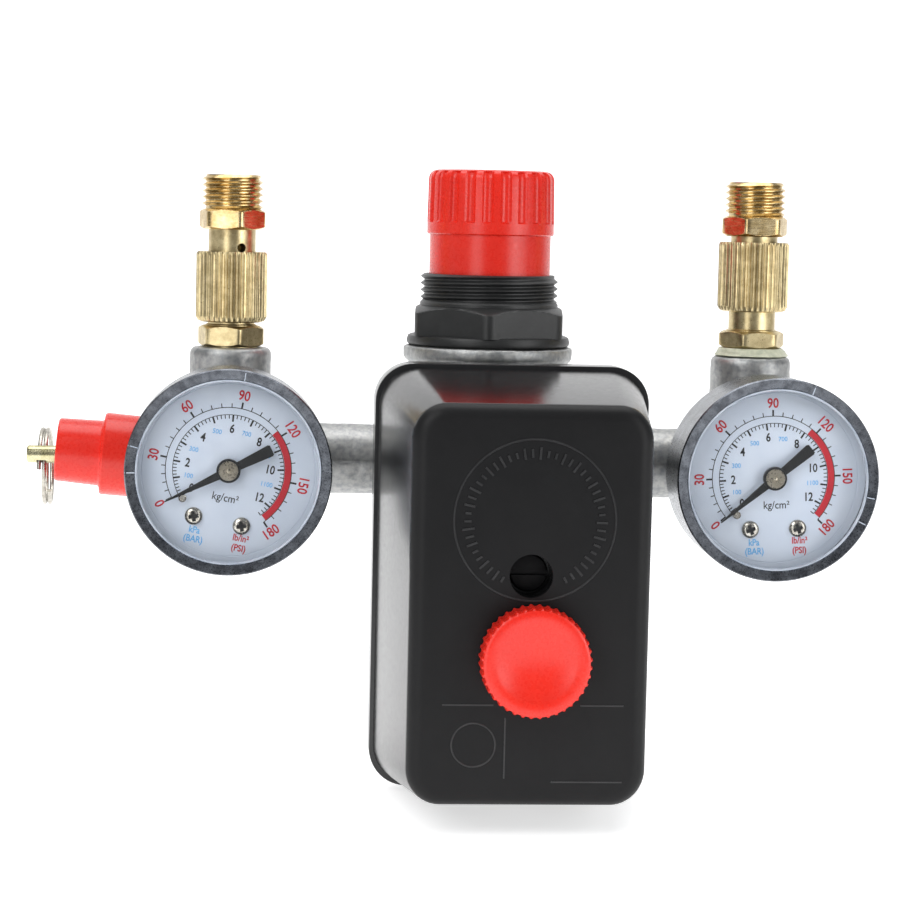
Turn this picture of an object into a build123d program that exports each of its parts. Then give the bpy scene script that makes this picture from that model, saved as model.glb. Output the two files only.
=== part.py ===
from build123d import *
import os
from math import atan, cos, radians, sin

# Pressure switch of a small air compressor, on the manifold that carries its
# pressure regulator, two gauges, two hand slide valves and a safety valve.
# Millimetres. +X runs along the manifold to the right, -Y is the front and
# +Z is up. The origin is the middle of the inlet's mouth, under the manifold.

# ---- Driving dimensions --------------------------------------------------

running_gap = 0.08        # radial, between a moving piece and its bore
seat_gap = 0.05           # radial, between a fixed piece and its bore

# Threads, as plain cylinders at their outer radius
quarter_inch = 6.58       # outlets, end ports and switch port
eighth_inch = 4.86        # gauge ports
three_eighth_inch = 8.33  # inlet

# Manifold casting
bar_z = 36.0              # axis of the bar, above the inlet's mouth
bar_radius = 7.75
ridge = 0.3               # parting ridge around the bar
middle_x = 1.1            # middle of the bar, from the regulator's axis
bar_end = 70.5            # end ports, from the middle of the bar
left_boss = middle_x - 57.4
right_boss = middle_x + 57.4
boss_top = bar_z + 24.2
boss_radius = 8.9
gauge_port = 13.0         # how far in front of the bar's axis
leg_radius = 11.5
inlet_depth = 11.0
column_radius = 17.2
column_top = bar_z + 25.4
flange_radius = 18.6
flange_height = 3.5

# Regulator
diaphragm_z = column_top - 5.0
diaphragm_thickness = 1.0
bonnet_flange = 2.3
bonnet_hex = 6.4
bonnet_bore = 9.7
neck_radius = 11.2
tube_radius = 15.0        # M30 x 1.5 for a panel nut
tube_bore = 13.4
tube_top = bar_z + 41.0
pocket_floor = bar_z + 34.5
neck_top = bar_z + 52.0
web_thickness = 3.0
screw_radius = 3.0        # M6 adjusting screw
spring_seat_z = bar_z + 42.0
knob_bottom = bar_z + 37.8
knob_band = bar_z + 49.6  # where the ribbed cap of the knob starts
knob_top = bar_z + 63.6
knob_radius = 13.85
knob_skirt = 13.2
knob_bore = 11.5
knob_grooves = 22

# Slide valves
valve_hex = 13.0          # across flats
valve_hex_top = bar_z + 29.4   # before each valve's own lift
valve_tube = 5.1
valve_shank = 6.0         # below the hexagon, in the boss
valve_collar = bar_z + 50.2
outlet_top = bar_z + 62.0
sleeve_radius = 7.7
sleeve_length = 15.2
sleeve_low = bar_z + 30.2

# Gauges, as distances in front of the bar's axis
case_back = 17.0
case_front = 35.0
case_radius = 21.4
case_wall = 0.8
dial_face = 29.0
dial_radius = 19.8
dial_zero = -128.0        # clockwise from the top of the dial
pinion_radius = 1.25
sector_radius = 7.65
sector_pivot = 9.0        # above the dial's middle
dial_screw_circle = 12.0
dial_screw_angle = 25.0   # either side of the bottom of the dial

# Safety valve
cap_tilt = 4.5            # degrees, the free end of the cap is the higher one
stem_radius = 1.9
stem_end = 101.2          # from the middle of the bar
ring_x = middle_x - 98.0
ring_radius = 8.1
ring_wire = 0.8
ring_lean = 24.0          # degrees that the stem's cross hole leans back

# Pressure switch, with distances in front of the bar's axis
switch_x = 2.7
switch_z = bar_z - 15.6   # axis of the switch port and its piston
box_z = bar_z - 21.7      # middle of the base and cover
port_face = 14.0
base_back = 22.0
base_rim = 30.0
base_width = 57.4
base_height = 89.2
cover_front = 72.0
cover_wall = 2.0
cover_draft = 4.5         # how much each side draws in from back to front
knob_x = 3.5
knob_z = bar_z - 31.7
knob_front = 79.0
on_off_radius = 10.85
pivot_z = bar_z + 6.0
pivot_forward = 38.0
lever_back = 37.0
piston_tip = 1.0          # radius where the piston touches the lever
spring_back = 40.05       # range springs, clear of the lever by its travel
bridge_back = 58.0
contact_face = 34.7
contact_z = bar_z - 32.5
contact_places = (-14.5, -8.2, 8.2, 14.5)
gland_x = 9.0             # cable grommets, either side of the box's middle

os.makedirs("parts", exist_ok=True)


# ---- Planes and plain shapes ---------------------------------------------

def level(x, z):
    """A level plane at a height, looking up."""
    return Plane(origin=(x, 0, z))


def facing(x, forward, z, turn=0.0):
    """An upright plane that looks to the front, turned clockwise by degrees."""
    across = (cos(radians(turn)), 0, -sin(radians(turn)))
    return Plane(origin=(x, -forward, z), x_dir=across, z_dir=(0, -1, 0))


def endways(x):
    """A plane across the bar, measured from its middle, looking to +X."""
    return Plane(origin=(middle_x + x, 0, bar_z), x_dir=(0, 1, 0), z_dir=(1, 0, 0))


def rod(plane, radius, length, mode=Mode.ADD, at=(0, 0)):
    """A round stretch that stands on a plane."""
    with BuildSketch(plane) as outline:
        with Locations(at):
            Circle(radius)
    extrude(outline.sketch, amount=length, mode=mode)


def hexagon(plane, across_flats, length, turn=0.0, mode=Mode.ADD):
    """A hexagon that stands on a plane, with its corners turned off."""
    with BuildSketch(plane) as outline:
        RegularPolygon(across_flats / 2, 6, major_radius=False, rotation=turn)
        Circle(across_flats * 0.565, mode=Mode.INTERSECT)
    extrude(outline.sketch, amount=length, mode=mode)


def block(plane, width, height, depth, mode=Mode.ADD, at=(0, 0)):
    """A square-edged block that stands on a plane."""
    with BuildSketch(plane) as outline:
        with Locations(at):
            Rectangle(width, height)
    extrude(outline.sketch, amount=depth, mode=mode)


def coil(plane, middle_radius, wire_radius, length, turns):
    """An open coil spring that stands on a plane."""
    rise = length - 2 * wire_radius
    start = plane.offset(wire_radius)
    with BuildLine() as route:
        Helix(rise / turns, rise, middle_radius, center=start.origin, direction=start.z_dir)
    with BuildSketch(Plane(route.line @ 0, z_dir=route.line % 0)) as wire:
        Circle(wire_radius)
    sweep(wire.sketch, path=route.line, is_frenet=True)


def save(part, name):
    """Label a piece and write it to its own file."""
    part.label = name
    export_step(part, f"parts/{name}.step")


# ---- Manifold ------------------------------------------------------------

# Die-cast body: a bar with two end bosses, the regulator's column in the
# middle, the inlet leg under it and the switch port in front of the leg.
with BuildPart() as manifold_casting:
    rod(endways(-bar_end), bar_radius, 2 * bar_end)
    block(endways(-bar_end), 2 * (bar_radius + ridge), 0.8, 2 * bar_end)
    rod(level(0, 0), leg_radius, bar_z)
    rod(level(0, bar_z + 7), column_radius, column_top - bar_z - 7)
    rod(level(0, column_top - flange_height), flange_radius, flange_height)
    for x in (left_boss, right_boss):
        rod(level(x, bar_z - 9), boss_radius, boss_top - bar_z + 9)
        rod(facing(x, 0, bar_z), 8.5, gauge_port)
    for x in (-bar_end, bar_end - 9):
        rod(endways(x), 9.0, 9)
    rod(facing(switch_x, 0, switch_z), 9.0, port_face)
    # Threaded ports
    rod(level(0, 0), three_eighth_inch, inlet_depth, Mode.SUBTRACT)
    for x in (left_boss, right_boss):
        rod(level(x, bar_z + 13), valve_shank + seat_gap, 12, Mode.SUBTRACT)
        rod(facing(x, 5, bar_z), eighth_inch, 9, Mode.SUBTRACT)
    for x in (-bar_end, bar_end - 8.0):
        rod(endways(x), quarter_inch, 8.0, Mode.SUBTRACT)
    rod(facing(switch_x, 6.5, switch_z), quarter_inch, 8, Mode.SUBTRACT)
    # Tank air: inlet to poppet chamber, left end, and switch port
    rod(level(0, 0), 3.0, bar_z - 4, Mode.SUBTRACT)
    rod(level(0, bar_z - 4), 5.2, 18, Mode.SUBTRACT)
    rod(endways(-bar_end), 3.6, bar_end - 4, Mode.SUBTRACT)
    rod(facing(switch_x, 0, switch_z), 1.2, 8, Mode.SUBTRACT)
    # Regulated air: diaphragm chamber to right end
    rod(level(0, bar_z + 14), 7.85, 5, Mode.SUBTRACT)
    rod(level(0, bar_z + 18), 12.0, 4, Mode.SUBTRACT)
    rod(level(9.9, bar_z), 1.9, 19, Mode.SUBTRACT)
    rod(endways(7.0), 3.6, bar_end - 7, Mode.SUBTRACT)
    for x in (left_boss, right_boss):
        rod(level(x, bar_z), 3.0, 14, Mode.SUBTRACT)
        rod(facing(x, 0, bar_z), 1.5, 6, Mode.SUBTRACT)
    # Seat of the diaphragm and the bonnet's thread
    rod(level(0, diaphragm_z), 15.2, 6, Mode.SUBTRACT)
save(manifold_casting.part, "manifold_casting")

# Brass plug in the right end port
with BuildPart() as manifold_end_plug:
    rod(endways(bar_end - 7.5), quarter_inch - seat_gap, 7.5)
    hexagon(endways(bar_end), 14, 4)
save(manifold_end_plug.part, "manifold_end_plug")

# ---- Regulator -----------------------------------------------------------

# Brass seat that the poppet closes from below
with BuildPart() as valve_seat:
    rod(level(0, bar_z + 14), 7.8, 4)
    rod(level(0, bar_z + 14), 2.2, 4, Mode.SUBTRACT)
save(valve_seat.part, "valve_seat")

with BuildPart() as poppet_valve:
    rod(level(0, bar_z + 8), 4.2, 5.95)
    rod(level(0, bar_z + 8), 1.2, diaphragm_z - bar_z - 8.1)
save(poppet_valve.part, "poppet_valve")

with BuildPart() as poppet_spring:
    coil(level(0, bar_z - 3.95), 3.7, 0.35, 11.85, 6)
save(poppet_spring.part, "poppet_spring")

with BuildPart() as regulator_diaphragm:
    rod(level(0, diaphragm_z), 15.1, diaphragm_thickness)
save(regulator_diaphragm.part, "regulator_diaphragm")

with BuildPart() as diaphragm_plate:
    rod(level(0, diaphragm_z + diaphragm_thickness), 9.0, 2)
    rod(level(0, diaphragm_z + diaphragm_thickness + 2), 5.0, 1.8)
save(diaphragm_plate.part, "diaphragm_plate")

spring_floor = diaphragm_z + diaphragm_thickness + 2
with BuildPart() as regulator_spring:
    coil(level(0, spring_floor + 0.05), 7.1, 1.1, spring_seat_z - spring_floor - 0.1, 5)
save(regulator_spring.part, "regulator_spring")

# Screwed cap of the spring chamber: skirt, flange, hexagon, threaded tube for
# a panel nut, and the inner neck that the knob slides on.
with BuildPart() as regulator_bonnet:
    rod(level(0, diaphragm_z + diaphragm_thickness), 15.1, 4)
    rod(level(0, column_top), 17.9, bonnet_flange)
    hexagon(level(0, column_top + bonnet_flange), 32.0, bonnet_hex, 25)
    rod(level(0, column_top + 8), tube_radius, tube_top - column_top - 8)
    chamfer(edges().group_by(Axis.Z)[-1], 0.5)
    rod(level(0, pocket_floor), tube_bore, 10, Mode.SUBTRACT)
    rod(level(0, pocket_floor - 1), neck_radius, neck_top - pocket_floor + 1)
    chamfer(edges().group_by(Axis.Z)[-1], 0.5)
    rod(level(0, diaphragm_z), 12.6, 6.5, Mode.SUBTRACT)
    rod(level(0, bar_z + 26), bonnet_bore, neck_top - web_thickness - bar_z - 26, Mode.SUBTRACT)
    rod(level(0, bar_z + 48), screw_radius + 0.2, 5, Mode.SUBTRACT)
    # Two keys stop the spring seat from turning
    key_height = neck_top - web_thickness - bar_z - 28
    for side in (-1, 1):
        block(level(0, bar_z + 28), 1.3, 2.0, key_height, at=(side * 9.25, 0))
save(regulator_bonnet.part, "regulator_bonnet")

# Threaded seat that runs down the screw and loads the spring
with BuildPart() as spring_seat:
    rod(level(0, spring_seat_z), bonnet_bore - 0.15, 3)
    for side in (-1, 1):
        block(level(0, spring_seat_z), 1.6, 2.4, 3, Mode.SUBTRACT, at=(side * 9.2, 0))
    rod(level(0, spring_seat_z), screw_radius + 0.05, 3, Mode.SUBTRACT)
save(spring_seat.part, "spring_seat")

# Adjusting screw: thread, thrust collar under the web, and a hexagon head
with BuildPart() as adjusting_screw:
    rod(level(0, bar_z + 31), screw_radius, 16)
    rod(level(0, bar_z + 46.4), 5.2, 2.5)
    rod(level(0, bar_z + 48), screw_radius + 0.1, 4.2)
    hexagon(level(0, bar_z + 52.2), 5.2, 5.8)
save(adjusting_screw.part, "adjusting_screw")

# Knob: ribbed cap and plain skirt in one moulding, with a hub on the screw
with BuildPart() as regulator_knob:
    rod(level(0, knob_bottom), knob_skirt, knob_top - knob_bottom)
    rod(level(0, knob_band), knob_radius, knob_top - knob_band)
    fillet(edges().group_by(Axis.Z)[-1], 2.0)
    with BuildSketch(level(0, knob_band + 2.8)) as grooves:
        with PolarLocations(knob_radius + 0.4, knob_grooves):
            Circle(1.1)
    extrude(grooves.sketch, amount=20, mode=Mode.SUBTRACT)
    rod(level(0, knob_bottom), knob_bore, knob_top - knob_bottom - 2, Mode.SUBTRACT)
    rod(level(0, bar_z + 55.3), 5.5, 7)
    hexagon(level(0, bar_z + 55.3), 5.5, 5.7, mode=Mode.SUBTRACT)
save(regulator_knob.part, "regulator_knob")

# ---- Slide valves --------------------------------------------------------

# Side, place, how deep it is screwed in, hexagon's foot, the sleeve's rise,
# and how far the hexagons are turned
valve_sides = (
    ("left", left_boss, -0.6, boss_top + 0.1, 0.0, 45),
    ("right", right_boss, 0.3, boss_top + 1.8, 3.5, 5),
)
ring_heights = (bar_z + 34.9, bar_z + 40.4, bar_z + 44.6)
for side, x, lift, hex_bottom, sleeve_rise, hex_turn in valve_sides:
    hex_top = valve_hex_top + lift
    collar = valve_collar + lift
    sleeve_bottom = sleeve_low + lift + sleeve_rise
    # Body: shank in the boss, hexagon, and the tube that the sleeve slides on
    with BuildPart() as valve_body:
        rod(level(x, bar_z + 14.5), valve_shank, hex_bottom - bar_z - 14.5)
        hexagon(level(x, hex_bottom), valve_hex, hex_top - hex_bottom, hex_turn)
        rod(level(x, hex_top), valve_tube, collar - hex_top)
        rod(level(x, collar), 4.2, 3.6)
        for z in ring_heights:
            with BuildSketch(level(x, z + lift - 0.55)) as groove:
                Circle(valve_tube + 1)
                Circle(4.2, mode=Mode.SUBTRACT)
            extrude(groove.sketch, amount=1.1, mode=Mode.SUBTRACT)
        rod(level(x, bar_z + 14.5), 2.8, 24.5 + lift, Mode.SUBTRACT)
        rod(level(x, bar_z + 41.2 + lift), 2.8, 13, Mode.SUBTRACT)
        for z in (bar_z + 36.8, bar_z + 42.6):
            rod(facing(x, -7, z + lift), 0.9, 14, Mode.SUBTRACT)
        vent_height = bar_z + 46.3 + lift
        vent = Plane(origin=(x, 0, vent_height), z_dir=(sin(radians(24)), -cos(radians(24)), 0))
        rod(vent, 1.0, 7, Mode.SUBTRACT)
    save(valve_body.part, f"{side}_valve_body")

    # Outlet: hexagon and male thread, screwed onto the end of the tube
    with BuildPart() as valve_outlet:
        hexagon(level(x, collar), valve_hex, 4.4, hex_turn)
        rod(level(x, collar + 4.4), quarter_inch, outlet_top + lift - collar - 4.4)
        chamfer(edges().group_by(Axis.Z)[-1], 0.5)
        rod(level(x, collar), 4.2 + seat_gap, 3.7, Mode.SUBTRACT)
        rod(level(x, collar), 3.4, 13, Mode.SUBTRACT)
    save(valve_outlet.part, f"{side}_valve_outlet")

    # Sleeve: slides down to shut off and vent, up to open
    with BuildPart() as valve_sleeve:
        rod(level(x, sleeve_bottom), sleeve_radius, sleeve_length)
        chamfer(edges(), 0.5)
        rod(level(x, sleeve_bottom), valve_tube + 0.1, sleeve_length, Mode.SUBTRACT)
        rod(level(x, sleeve_bottom + 2), 6.3, 7.7, Mode.SUBTRACT)
    save(valve_sleeve.part, f"{side}_valve_sleeve")

with BuildPart() as valve_orings:
    for side, x, lift, hex_bottom, sleeve_rise, hex_turn in valve_sides:
        for z in ring_heights:
            with BuildSketch(facing(x, 0, z + lift)) as section:
                with Locations((4.7, 0)):
                    Circle(0.44)
            revolve(section.sketch, axis=Axis((x, 0, z), (0, 0, 1)))
save(valve_orings.part, "valve_orings")

# Sealing tape wound on the right valve's shank, squeezed out above the boss
with BuildPart() as right_valve_thread_seal:
    rod(level(right_boss, boss_top), 8.3, 1.75)
    chamfer(edges().group_by(Axis.Z)[-1], 1.0)
    rod(level(right_boss, boss_top), valve_shank + seat_gap, 3, Mode.SUBTRACT)
save(right_valve_thread_seal.part, "right_valve_thread_seal")

# ---- Gauges --------------------------------------------------------------

gauge_sides = (("left", left_boss, 11.3), ("right", right_boss, -2.3))
screw_x = dial_screw_circle * sin(radians(dial_screw_angle))
screw_y = -dial_screw_circle * cos(radians(dial_screw_angle))
for side, x, turn in gauge_sides:
    # Stem: thread, hexagon and the socket block that the tube is brazed into
    with BuildPart() as gauge_stem:
        rod(facing(x, 6, bar_z), eighth_inch - seat_gap, 7)
        hexagon(facing(x, gauge_port, bar_z, turn), 14, case_back - gauge_port)
        rod(facing(x, case_back, bar_z), 4.0, 2)
        block(facing(x, case_back + 1, bar_z, turn), 12, 8, 6)
        block(facing(x, 19.5, bar_z, turn), 10.3, 3.2, 4, at=(10.15, 0))
        rod(facing(x, 6, bar_z), 1.2, 14, Mode.SUBTRACT)
    save(gauge_stem.part, f"{side}_gauge_stem")

    # Case: a steel cup whose front edge holds the lens
    with BuildPart() as gauge_case:
        rod(facing(x, case_back, bar_z), case_radius, case_front - case_back)
        fillet(edges().group_by(Axis.Y)[-1], 2.0)
        chamfer(edges().group_by(Axis.Y)[0], 0.5)
        rod(facing(x, case_back + 1, bar_z), case_radius - case_wall - 1.4, 2.0, Mode.SUBTRACT)
        rod(facing(x, case_back + 2.5, bar_z), case_radius - case_wall, 15, Mode.SUBTRACT)
        rod(facing(x, case_front - 1, bar_z), 19.9, 2, Mode.SUBTRACT)
        rod(facing(x, case_back - 1, bar_z), 4.0 + seat_gap, 3, Mode.SUBTRACT)
    save(gauge_case.part, f"{side}_gauge_case")

    # Dial with its stop pin
    with BuildPart() as gauge_dial:
        face = facing(x, dial_face - 0.5, bar_z, turn)
        rod(face, dial_radius, 0.5)
        rod(face, 1.0, 1, Mode.SUBTRACT)
        for hand in (-1, 1):
            rod(face, 0.75, 1, Mode.SUBTRACT, at=(hand * screw_x, screw_y))
        pin_angle = radians(90 - dial_zero + 5)
        rod(face, 0.3, 2.2, at=(12 * cos(pin_angle), 12 * sin(pin_angle)))
    save(gauge_dial.part, f"{side}_gauge_dial")

    # Pointer: spindle, pinion, blade and hub, at rest on zero
    with BuildPart() as gauge_pointer:
        rod(facing(x, 24.2, bar_z), 0.6, 7)
        rod(facing(x, 25.5, bar_z), pinion_radius, 1.5)
        rod(facing(x, 30.0, bar_z), 2.5, 1.4)
        with BuildSketch(facing(x, 30.4, bar_z, turn + dial_zero)) as blade:
            Polygon((-0.35, 14.7), (0.35, 14.7), (0.9, 0), (1.25, -10), (-1.25, -10), (-0.9, 0), align=None)
        extrude(blade.sketch, amount=0.4)
    save(gauge_pointer.part, f"{side}_gauge_pointer")

    # Toothed sector, plain at its pitch line, with the tail that the tube moves
    with BuildPart() as gauge_sector:
        pivot_plane = facing(x, 25.6, bar_z, turn)
        with BuildSketch(pivot_plane) as fan:
            with Locations((0, sector_pivot)):
                Circle(sector_radius)
            with BuildLine():
                Polyline((0, sector_pivot), (-15, sector_pivot - 13.5), (1.4, sector_pivot - 16),
                         (0, sector_pivot))
            make_face(mode=Mode.INTERSECT)
            with Locations((0, sector_pivot)):
                Circle(2.0)
            with Locations((0, sector_pivot + 2)):
                Rectangle(1.6, 3)
        extrude(fan.sketch, amount=1.3)
        rod(facing(x, 24.1, bar_z, turn), 0.8, 4.2, at=(0, sector_pivot))
    save(gauge_sector.part, f"{side}_gauge_sector")

    # Lens
    with BuildPart() as gauge_lens:
        rod(facing(x, 32.9, bar_z), case_radius - case_wall - seat_gap, 1.05)
    save(gauge_lens.part, f"{side}_gauge_lens")

# Movement frames: two plates and two pillars in each gauge
with BuildPart() as gauge_movements:
    for side, x, turn in gauge_sides:
        for forward in (24.0, 27.5):
            block(facing(x, forward, bar_z, turn), 16, 25, 1, at=(0, -0.5))
            rod(facing(x, forward, bar_z), 0.7, 1, Mode.SUBTRACT)
            rod(facing(x, forward, bar_z, turn), 0.9, 1, Mode.SUBTRACT, at=(0, sector_pivot))
        for hand in (-1, 1):
            rod(facing(x, 24.5, bar_z, turn), 1.2, 3.5, at=(hand * 6.3, -6.5))
            rod(facing(x, 27, bar_z, turn), 0.75, 2, Mode.SUBTRACT, at=(hand * screw_x, screw_y))
save(gauge_movements.part, "gauge_movements")

# Bourdon tubes: flat tubes bent most of the way around behind the movement
with BuildPart() as bourdon_tubes:
    for side, x, turn in gauge_sides:
        start = facing(x, 0, bar_z, turn - 7)
        flat = Plane(origin=(x, 0, bar_z), x_dir=start.x_dir, z_dir=start.y_dir)
        with BuildSketch(flat) as section:
            with Locations((14.5, -21.5)):
                Rectangle(1.6, 4.0)
        revolve(section.sketch, axis=Axis((x, 0, bar_z), (0, -1, 0)), revolution_arc=250)
save(bourdon_tubes.part, "bourdon_tubes")

with BuildPart() as dial_screws:
    for side, x, turn in gauge_sides:
        for hand in (-1, 1):
            place = (hand * screw_x, screw_y)
            rod(facing(x, dial_face, bar_z, turn), 1.65, 0.9, at=place)
            rod(facing(x, 27.6, bar_z, turn), 0.7, 2, at=place)
save(dial_screws.part, "dial_screws")

# ---- Safety valve --------------------------------------------------------

# Brass body in the left end port: thread, hexagon and barrel with vent holes
with BuildPart() as safety_valve_body:
    rod(endways(-bar_end), quarter_inch - seat_gap, 7.5)
    hexagon(endways(-bar_end - 5), 14, 5)
    rod(endways(-bar_end - 13), 6.2, 8)
    rod(endways(-bar_end - 13), 4.5, 11.5, Mode.SUBTRACT)
    rod(endways(-bar_end - 4), 3.0, 12, Mode.SUBTRACT)
    for place in (level(middle_x - bar_end - 9, bar_z - 8), facing(middle_x - bar_end - 9, -8, bar_z)):
        rod(place, 1.0, 16, Mode.SUBTRACT)
save(safety_valve_body.part, "safety_valve_body")

# Screwed ring that sets the spring's load
with BuildPart() as safety_valve_nut:
    rod(endways(-bar_end - 13), 4.5 - seat_gap, 2.5)
    rod(endways(-bar_end - 13), stem_radius + running_gap, 2.5, Mode.SUBTRACT)
save(safety_valve_nut.part, "safety_valve_nut")

with BuildPart() as safety_valve_spring:
    coil(endways(-bar_end - 10.45), 3.2, 0.4, 3.2, 2.5)
save(safety_valve_spring.part, "safety_valve_spring")

# Stem with the sealing disc at its inner end and a cross hole for the ring
hole_up = (0, sin(radians(ring_lean)), cos(radians(ring_lean)))
with BuildPart() as safety_valve_stem:
    rod(endways(-bar_end - 4), 4.3, 1.95)
    rod(endways(-stem_end), stem_radius, stem_end - bar_end - 3)
    chamfer(edges().group_by(Axis.X)[0], 0.3)
    rod(Plane(origin=(ring_x, 0, bar_z), z_dir=hole_up).offset(-3), 1.15, 6, Mode.SUBTRACT)
save(safety_valve_stem.part, "safety_valve_stem")

# Red plastic cap, loose on the barrel, so that its free end sits high
cap_axis = (-cos(radians(cap_tilt)), 0, sin(radians(cap_tilt)))
cap_plane = Plane(origin=(middle_x - bar_end - 10, 0, bar_z), x_dir=(0, 1, 0), z_dir=cap_axis)
with BuildPart() as safety_valve_cap:
    rod(cap_plane.offset(-4), 8.95, 8.5)
    rod(cap_plane.offset(4), 7.0, 10.3)
    rod(cap_plane.offset(-4), 7.3, 7.7, Mode.SUBTRACT)
    rod(cap_plane.offset(3), 5.2, 9.8, Mode.SUBTRACT)
    rod(cap_plane.offset(12), 3.3, 3, Mode.SUBTRACT)
save(safety_valve_cap.part, "safety_valve_cap")

# Pull ring through the stem's cross hole, hanging behind the stem
ring_middle = (ring_x, ring_radius * cos(radians(ring_lean)), bar_z - ring_radius * sin(radians(ring_lean)))
with BuildPart() as safety_valve_ring:
    with BuildSketch(Plane(origin=(ring_x, 0, bar_z), x_dir=(1, 0, 0), z_dir=hole_up)) as wire:
        Circle(ring_wire)
    revolve(wire.sketch, axis=Axis(ring_middle, (1, 0, 0)))
save(safety_valve_ring.part, "safety_valve_ring")

# ---- Pressure switch: pressure side --------------------------------------

screw_places = [(sx * 15.5, sz * 15.5) for sx in (-1, 1) for sz in (-1, 1)]
with BuildPart() as diaphragm_housing:
    rod(facing(switch_x, 7.2, switch_z), quarter_inch - seat_gap, 7)
    rod(facing(switch_x, port_face, switch_z), 15.0, 5)
    with BuildSketch(facing(switch_x, 18, switch_z)) as plate:
        RectangleRounded(40, 40, 4)
    extrude(plate.sketch, amount=4)
    rod(facing(switch_x, 18.5, switch_z), 13.0, 4, Mode.SUBTRACT)
    rod(facing(switch_x, 21, switch_z), 17.05, 2, Mode.SUBTRACT)
    rod(facing(switch_x, 7, switch_z), 2.0, 12, Mode.SUBTRACT)
    for place in screw_places:
        rod(facing(switch_x, 17, switch_z), 2.05, 6, Mode.SUBTRACT, at=place)
save(diaphragm_housing.part, "diaphragm_housing")

with BuildPart() as switch_diaphragm:
    rod(facing(switch_x, 21, switch_z), 17.0, 1)
save(switch_diaphragm.part, "switch_diaphragm")

with BuildPart() as housing_screws:
    for place in screw_places:
        rod(facing(switch_x, 15, switch_z), 3.4, 3, at=place)
        rod(facing(switch_x, 17, switch_z), 2.0, 7.4, at=place)
save(housing_screws.part, "housing_screws")

# Base: a shallow pan with the piston's guide and the lever's two ears
pivot_axis = Plane(origin=(switch_x, -pivot_forward, pivot_z), z_dir=(1, 0, 0))
with BuildPart() as switch_base:
    with BuildSketch(facing(switch_x, base_back, box_z)) as pan:
        RectangleRounded(base_width, base_height, 8)
    extrude(pan.sketch, amount=base_rim - base_back)
    with BuildSketch(facing(switch_x, base_back + 2.5, box_z)) as inside:
        RectangleRounded(base_width - 4, base_height - 4, 6)
    extrude(inside.sketch, amount=8, mode=Mode.SUBTRACT)
    fillet(edges().group_by(Axis.Y)[-1], 0.8)
    rod(facing(switch_x, base_back + 2, switch_z), 10.5, 9)
    rod(facing(switch_x, base_back - 1, switch_z), 8.0 + running_gap, 13, Mode.SUBTRACT)
    for hand in (-1, 1):
        block(facing(switch_x, base_back + 2, pivot_z), 2, 8, 18, at=(hand * 18.3, 0))
    rod(pivot_axis.offset(-25), 1.0 + seat_gap, 50, Mode.SUBTRACT)
    for place in screw_places:
        rod(facing(switch_x, base_back - 1, switch_z), 2.05, 4, Mode.SUBTRACT, at=place)
save(switch_base.part, "switch_base")

# Piston that the diaphragm pushes against the lever
with BuildPart() as switch_piston:
    rod(facing(switch_x, base_back, switch_z), 8.0, 12)
    rod(facing(switch_x, base_back, switch_z), 3.0, lever_back - base_back - 1)
    rod(facing(switch_x, base_back, switch_z), piston_tip, lever_back - base_back)
save(switch_piston.part, "switch_piston")

# ---- Pressure switch: contacts and range springs -------------------------

with BuildPart() as lever_pin:
    rod(pivot_axis.offset(-20), 1.0, 40)
save(lever_pin.part, "lever_pin")

# Lever: hangs from the pin between the piston and the range springs
with BuildPart() as contact_lever:
    block(facing(switch_x, lever_back, bar_z), 34, 41, 2, at=(0, -14.5))
    rod(pivot_axis.offset(-17), 2.6, 34)
    block(facing(switch_x, lever_back, bar_z), 11.4, 12, 2, Mode.SUBTRACT, at=(0, -32))
    rod(pivot_axis.offset(-18), 1.0 + running_gap, 36, Mode.SUBTRACT)
save(contact_lever.part, "contact_lever")

# Steel bridge over the lever, for the range screws and the cover's screw
with BuildPart() as spring_bridge:
    block(facing(switch_x, bridge_back, switch_z), 44, 12, 2.5)
    for hand in (-1, 1):
        block(facing(switch_x, base_back + 2.5, switch_z), 2, 12, bridge_back - base_back - 1, at=(hand * 21, 0))
        rod(facing(switch_x, bridge_back - 1, switch_z), 2.5, 5, Mode.SUBTRACT, at=(hand * 11.5, 0))
    rod(facing(switch_x, bridge_back - 1, switch_z), 2.0, 5, Mode.SUBTRACT)
save(spring_bridge.part, "spring_bridge")

# Range screws, each with the cup that its spring stands in
with BuildPart() as range_screws:
    for hand in (-1, 1):
        rod(facing(switch_x, 56, switch_z), 2.5 - seat_gap, 10, at=(hand * 11.5, 0))
        rod(facing(switch_x, 53, switch_z), 5.5, 4, at=(hand * 11.5, 0))
        rod(facing(switch_x, 53, switch_z), 4.7, 3, Mode.SUBTRACT, at=(hand * 11.5, 0))
save(range_screws.part, "range_screws")

with BuildPart() as range_springs:
    for hand in (-1, 1):
        coil(facing(switch_x + hand * 11.5, spring_back, switch_z), 3.9, 0.6, 54.35 - spring_back, 6)
save(range_springs.part, "range_springs")

# Contact block, with the guide of the knob's rod
with BuildPart() as contact_block:
    block(facing(switch_x, base_back + 2.5, bar_z), 40, 29.4, 7.9, at=(0, -41.3))
    rod(facing(knob_x, base_back + 2.5, knob_z), 5.0, 11.5)
    rod(facing(knob_x, base_back + 3.5, knob_z), 3.0 + running_gap, 12, Mode.SUBTRACT)
    for across in contact_places:
        rod(facing(switch_x, 28, bar_z), 1.5, 5, Mode.SUBTRACT, at=(across, -48))
save(contact_block.part, "contact_block")

with BuildPart() as fixed_contacts:
    for across in contact_places:
        block(facing(switch_x, 32.4, bar_z), 4.6, 22.5, 0.8, at=(across, -40.75))
        rod(facing(switch_x, 33, contact_z), 2.0, contact_face - 33, at=(across, 0))
        rod(facing(switch_x, 32, bar_z), 1.55, 2, Mode.SUBTRACT, at=(across, -48))
save(fixed_contacts.part, "fixed_contacts")

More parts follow.
